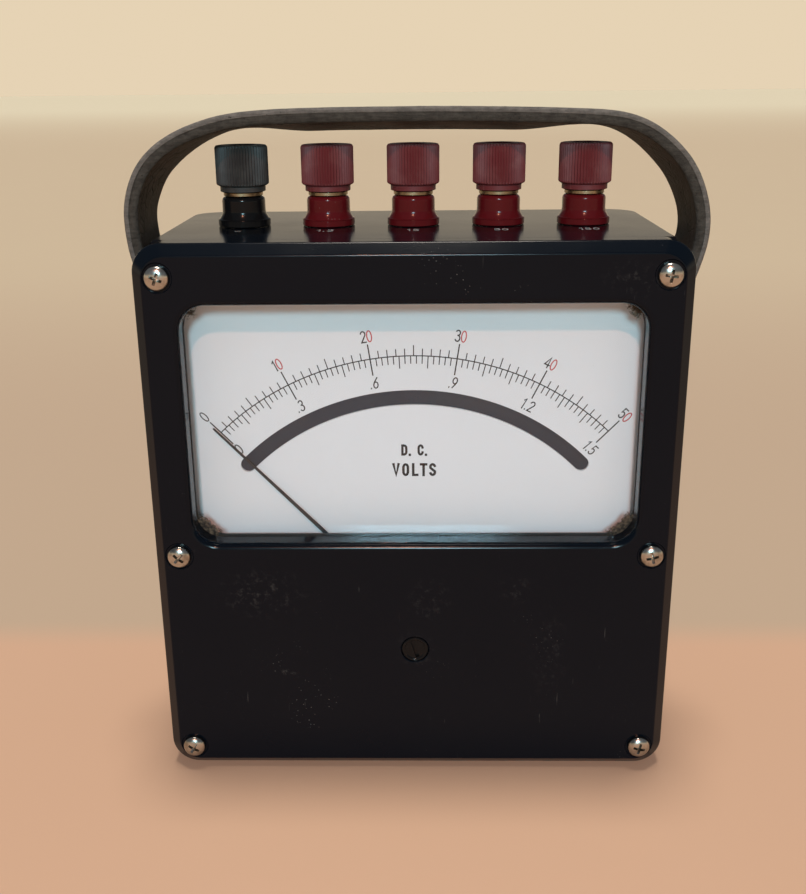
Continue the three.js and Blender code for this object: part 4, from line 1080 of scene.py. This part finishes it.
def slot_outline():
    """The arc-shaped mirror slot with round ends."""
    points = []
    first, last = 90 - math.degrees(SLOT_HALF_ANGLE), 90 + math.degrees(SLOT_HALF_ANGLE)
    centre = (PIVOT.x, PIVOT.z)
    outer, inner = SLOT_RADIUS + SLOT_HALF_WIDTH, SLOT_RADIUS - SLOT_HALF_WIDTH
    points += arc(outer, first, last, 60, centre)
    left = arc(SLOT_RADIUS, last, last, 1, centre)[0]
    points += arc(SLOT_HALF_WIDTH, last, last + 180, 12, left)[1:-1]
    points += arc(inner, last, first, 60, centre)
    right = arc(SLOT_RADIUS, first, first, 1, centre)[0]
    points += arc(SLOT_HALF_WIDTH, first - 180, first, 12, right)[1:-1]
    return points


def dial_plate():
    outer = rounded_rect(DIAL_LOW.x, DIAL_HIGH.x, DIAL_LOW.z, DIAL_HIGH.z, 3.0, 6)
    screws = [centre_mm("dial_screw_" + side) for side in SIDES]
    holes = [slot_outline(), *(arc(1.5, 0, 345, 23, (s.x, s.z)) for s in screws)]
    plate = flat_plate("dial_face", outer, holes, DIAL_LOW.y, DIAL_HIGH.y - DIAL_LOW.y)
    for side in SIDES:
        boss = centre_mm(screw_name("middle", side))
        notch = turned("notch", [(0, -3), (4.4, -3), (4.4, 3), (0, 3)], (boss.x, DIAL_LOW.y, boss.z), "y", 40)
        cut(plate, notch)
    smooth(plate, 30, False)
    return finish_piece(plate, "dial", "case", "dial_paint", "dial_plate")


# ---- terminal marks


def terminal_marks():
    """The ranges, filled white, on the panel in front of the terminals."""
    marks = Printing()
    z = PANEL + PRINT_RAISE
    for name, words in zip(POSTS, RANGES):
        post = centre_mm("post_base_" + name)
        x, y = post.x, post.y - RANGES_AHEAD
        marks.text(words, RANGES_HEIGHT, 0.4, lambda p, x=x, y=y: (x + p[0], y + p[1], z), 0.2)
    marks.finish("terminal_marks", "marking_white", "case", "dial_paint", 0.02, (0, 0, 1))


# ---- strap


def strap_line(steps):
    """Evenly spaced points and directions along the strap's middle line."""
    route = [Vector((x, z)) for x, z in STRAP_ROUTE]
    route = [2 * route[0] - route[1], *route, 2 * route[-1] - route[-2]]
    dense = []
    for a, b, c, d in zip(route, route[1:], route[2:], route[3:]):
        for i in range(24):
            t = i / 24
            dense.append(0.5 * ((2 * b) + (c - a) * t + (2 * a - 5 * b + 4 * c - d) * t * t
                                + (3 * b - a - 3 * c + d) * t * t * t))
    dense.append(route[-2])
    lengths = [0.0]
    for a, b in zip(dense, dense[1:]):
        lengths.append(lengths[-1] + (b - a).length)
    points = []
    j = 0
    for i in range(steps + 1):
        at = lengths[-1] * i / steps
        while j < len(lengths) - 2 and lengths[j + 1] < at:
            j += 1
        share = (at - lengths[j]) / max(lengths[j + 1] - lengths[j], 1e-9)
        points.append(dense[j].lerp(dense[j + 1], share))
    directions = []
    for i in range(steps + 1):
        low, high = max(i - 1, 0), min(i + 1, steps)
        directions.append((points[high] - points[low]).normalized())
    return points, directions, lengths[-1]


def strap_section(half_width, half_thickness):
    """Points (across, through, material) round the strap's section, starting at the outer face's
    front corner. Across runs from the front edge to the back edge, through from inside to outside."""
    bevel = 0.7
    groove = 0.22
    w, t = half_width, half_thickness
    section = []
    across_steps = 14
    for i in range(across_steps + 1):
        section.append((-w + bevel + (2 * w - 2 * bevel) * i / across_steps, t, 0))
    for across, through, kind in (
        (w - 0.15, t - 0.35, 2), (w, t - 0.9, 2), (w - 0.05, 0.5, 2), (w - groove, 0.22, 3),
        (w - 0.05, -0.05, 3), (w - 0.1, -t + 0.8, 3), (w - 0.4, -t + 0.2, 3),
    ):
        section.append((across, through, kind))
    for i in range(across_steps + 1):
        section.append((w - bevel - (2 * w - 2 * bevel) * i / across_steps, -t, 1))
    for across, through, kind in (
        (-w + 0.4, -t + 0.2, 3), (-w + 0.1, -t + 0.8, 3), (-w + 0.05, -0.05, 3), (-w + groove, 0.22, 3),
        (-w + 0.05, 0.5, 2), (-w, t - 0.9, 2), (-w + 0.15, t - 0.35, 2),
    ):
        section.append((across, through, kind))
    return section


def rear_sag(x, z):
    """How far the old leather's rear edge hangs below its front edge; less over the outer terminals."""
    rise = min(1.0, max(0.0, (z - STRAP_SAG_START) / STRAP_SAG_RISE))
    apart = min(1.0, abs(abs(x) - STRAP_SAG_EASE_AT) / STRAP_SAG_EASE_HALF)
    over_post = 0.5 + 0.5 * math.cos(math.pi * apart)
    return STRAP_SAG * rise * rise * (3 - 2 * rise) * (1 - STRAP_SAG_EASE * over_post)


def strap():
    steps = 260
    points, directions, total = strap_line(steps)
    middle = (STRAP_LOW.y + STRAP_HIGH.y) / 2
    half_width = (STRAP_HIGH.y - STRAP_LOW.y) / 2 - 0.35
    half_thickness = STRAP_THICKNESS / 2 - 0.12
    verts = []
    kinds = None
    for i, (point, along) in enumerate(zip(points, directions)):
        outward = Vector((-along.y, along.x))
        at = total * i / steps
        from_end = min(at, total - at)
        # The ends are rounded about the screws.
        narrow = 1.0
        if from_end < STRAP_END:
            bend = (STRAP_END - from_end) / (STRAP_END + 0.3)
            narrow = max(0.12, math.sqrt(max(0.0, 1 - bend ** 2)))
        section = strap_section(half_width * narrow, half_thickness)
        kinds = [kind for _, _, kind in section]
        for across, through, kind in section:
            seed = Vector((at * 0.09, across * 0.11, through * 0.3))
            swell = noise.noise(seed) * 0.16
            fine = noise.noise(Vector((at * 0.55, across * 0.5, through))) * 0.09
            ragged = 0.0
            if kind in (2, 3):
                ragged = (noise.noise(Vector((at * 0.9, through * 2.0, 7.0))) - 0.15) * 0.22
            push = swell + fine
            x = point.x + outward.x * (through + math.copysign(push, through) * 0.5)
            z = point.y + outward.y * (through + math.copysign(push, through) * 0.5)
            z -= rear_sag(point.x, point.y) * (across + half_width) / (2 * half_width)
            y = middle + across + math.copysign(ragged, across)
            verts.append((x, y, z))
    count = len(kinds)
    faces = band_faces(steps + 1, count)
    around = [kinds[(j + 1) % count] if kinds[j] in (0, 1) else kinds[j] for j in range(count)]
    face_kinds = around * steps
    faces.append(tuple(range(count)))
    faces.append(tuple(steps * count + j for j in reversed(range(count))))
    face_kinds += [3, 3]
    band = make_object("strap_leather_band", verts, faces)
    for name in ("leather", "leather_inside", "edge_outer", "edge_inner"):
        band.data.materials.append(MATERIALS[name])
    for polygon, kind in zip(band.data.polygons, face_kinds):
        polygon.material_index = kind
    face_outwards(band)
    smooth(band, 55, False)
    return finish_piece(band, "leather", "strap", "strap_leather", "strap")


def strap_screw(side):
    low, high = box_mm("strap_screw_" + side)
    sign = 1 if side == "right" else -1
    outer = max(abs(low.x), abs(high.x))
    seat = outer - 2.0
    radius = (high.z - low.z) / 2
    centre = centre_mm("strap_screw_" + side)
    inner = min(abs(low.x), abs(high.x))
    dome = [(radius * math.cos(t), seat + 0.5 + 1.5 * math.sin(t)) for t in
            (math.radians(90 * i / 10) for i in range(11))]
    shank = [(0, inner), (1.9, inner), (1.9, seat)]
    profile = [*shank, (radius - 0.1, seat), (radius, seat + 0.1), *dome[:-1], (0, outer)]
    screw = turned("strap_screw_" + side + "_fine", profile, (0, centre.y, centre.z), "x", 48)
    low_corner = (outer - 0.9, centre.y - 8, centre.z - 0.55)
    high_corner = (outer + 1, centre.y + 8, centre.z + 0.55)
    slot = block("slot", low_corner, high_corner)
    cut(screw, slot)
    if sign < 0:
        screw.data.transform(Matrix.Scale(-1, 4, (1, 0, 0)))
        face_outwards(screw)
    smooth(screw, 30)
    return finish_piece(screw, "nickel", "case", "nickel", "strap_screw_" + side)


# ---- CAD nodes that keep their own shape

KEPT_NODES = {
    "glass": ["window_glass"],
    "gasket": ["window_gasket"],
    "brass": [
        "zero_arm", "core_support", "front_bridge", "rear_bridge", "front_jewel_screw",
        "rear_jewel_screw", "dial_screw_left", "dial_screw_right", "balance_weight_left",
        "balance_weight_right", "balance_weight_tail",
    ],
    "bronze": ["front_hairspring", "rear_hairspring"],
    "steel": ["front_pivot", "rear_pivot"],
    "aluminium": ["coil_former", "movement_base"],
    "iron": ["pole_piece_left", "pole_piece_right", "iron_core"],
    "magnet": ["magnet"],
    "copper": ["coil_winding"],
    "board": ["resistor_board"],
    "mirror": ["dial_mirror"],
    "needle": ["pointer"],
}


def paint_kept_nodes():
    for material, nodes in KEPT_NODES.items():
        for node in nodes:
            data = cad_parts[node].data
            data.materials.clear()
            data.materials.append(MATERIALS[material])


# ---- the object

front_cover()
rear_case()
for (screw_row, screw_side), screw_turn in SCREW_TURNS.items():
    cover_screw(screw_row, screw_side, screw_turn)
zero_adjuster()
for post in POSTS:
    spot = centre_mm("post_base_" + post)
    post_base(post, spot.x, spot.y)
    clamp_ring(post, spot.x, spot.y)
    fluted_cap(post, spot.x, spot.y)
    stud(post, spot.x, spot.y)
dial_plate()
printed_scale()
terminal_marks()
strap()
for strap_side in SIDES:
    strap_screw(strap_side)
paint_kept_nodes()


# ---- floor, light and camera

FLOOR_HALF = 20.0
SKY_WARM, SKY_DIM = (0.79, 0.65, 0.46), (0.13, 0.145, 0.16)
SKY_WARM_TO, SKY_DIM_FROM = 0.07, 0.2
# name, elevation and azimuth, width of the disc in degrees, strength, colour
SUNS = (
    ("key", 39.0, -2.0, 2.0, 1.05, (1.0, 0.42, 0.27)),
    ("window", 21.0, 0.0, 9.0, 1.65, (0.5, 0.87, 1.0)),
    ("overhead", 94.0, 0.0, 14.0, 2.1, (1.0, 0.9, 0.8)),
)
CAMERA_PLACE = (0.00285, -0.324, 0.2008)
CAMERA_LENS = 43.69
CAMERA_PITCH, CAMERA_LEAN, CAMERA_ROLL = 18.658, 1.166, 0.579  # degrees


def backdrop():
    """A wide flat sheet of paper: peach in front of the object, darker and greyer just behind it, then a little
    paler away from the viewer.
    """
    s = Shader("pale_paper")
    depth = s.axis("Y")
    tone = s.mix(s.step(depth, 0.035, 0.06), (0.60, 0.40, 0.275), (0.49, 0.39, 0.285))
    tone = s.mix(s.step(depth, 0.25, 1.0), tone, (0.56, 0.48, 0.345))
    tone = s.mix(s.step(depth, 3.0, 9.0), tone, (0.70, 0.67, 0.505))
    tone = s.mix(s.times(s.noise(9.0, 3.0), 0.1), tone, (0.5, 0.39, 0.29))
    s.set(Base_Color=tone, Roughness=0.9, Specular_IOR_Level=0.1)
    half = FLOOR_HALF / MM
    points = [(-half, -half, 0.0), (half, -half, 0.0), (half, half, 0.0), (-half, half, 0.0)]
    floor = make_object("floor", points, [(0, 1, 2, 3)])
    floor.data.materials.append(s.material)


def sun(name, elevation, azimuth, spread, strength, colour):
    """A distant lamp; azimuth is counted from the front towards the object's right."""
    data = bpy.data.lights.new(name, "SUN")
    data.angle = math.radians(spread)
    data.energy = strength
    data.color = colour
    lamp = bpy.data.objects.new(name, data)
    rise, turn = math.radians(elevation), math.radians(azimuth)
    level = math.cos(rise)
    towards = Vector((level * math.sin(turn), -level * math.cos(turn), math.sin(rise)))
    lamp.rotation_euler = towards.to_track_quat("Z", "Y").to_euler()
    bpy.context.scene.collection.objects.link(lamp)


def lighting():
    world = bpy.data.worlds.new("studio")
    world.use_nodes = True
    tree = world.node_tree
    place = tree.nodes.new("ShaderNodeTexCoord")
    split = tree.nodes.new("ShaderNodeSeparateXYZ")
    ramp = tree.nodes.new("ShaderNodeValToRGB")
    tree.links.new(place.outputs["Generated"], split.inputs["Vector"])
    tree.links.new(split.outputs["Z"], ramp.inputs["Fac"])
    tree.links.new(ramp.outputs["Color"], tree.nodes["Background"].inputs["Color"])
    ramp.color_ramp.elements[0].position = SKY_WARM_TO
    ramp.color_ramp.elements[0].color = (*SKY_WARM, 1.0)
    ramp.color_ramp.elements[1].position = SKY_DIM_FROM
    ramp.color_ramp.elements[1].color = (*SKY_DIM, 1.0)
    bpy.context.scene.world = world
    for lamp in SUNS:
        sun(*lamp)


def camera():
    data = bpy.data.cameras.new("camera")
    data.sensor_width = 36.0
    data.lens = CAMERA_LENS
    data.clip_start, data.clip_end = 0.01, 20.0
    cam = bpy.data.objects.new("camera", data)
    pitch, lean, roll = (math.radians(a) for a in (CAMERA_PITCH, CAMERA_LEAN, CAMERA_ROLL))
    heading = Matrix.Rotation(lean, 4, "Z")
    tilt = Matrix.Rotation(math.pi / 2 - pitch, 4, "X")
    spin = Matrix.Rotation(-roll, 4, "Z")
    cam.matrix_world = Matrix.Translation(CAMERA_PLACE) @ heading @ tilt @ spin
    bpy.context.scene.collection.objects.link(cam)
    bpy.context.scene.camera = cam


backdrop()
lighting()
camera()
bpy.context.scene.view_settings.view_transform = "Standard"
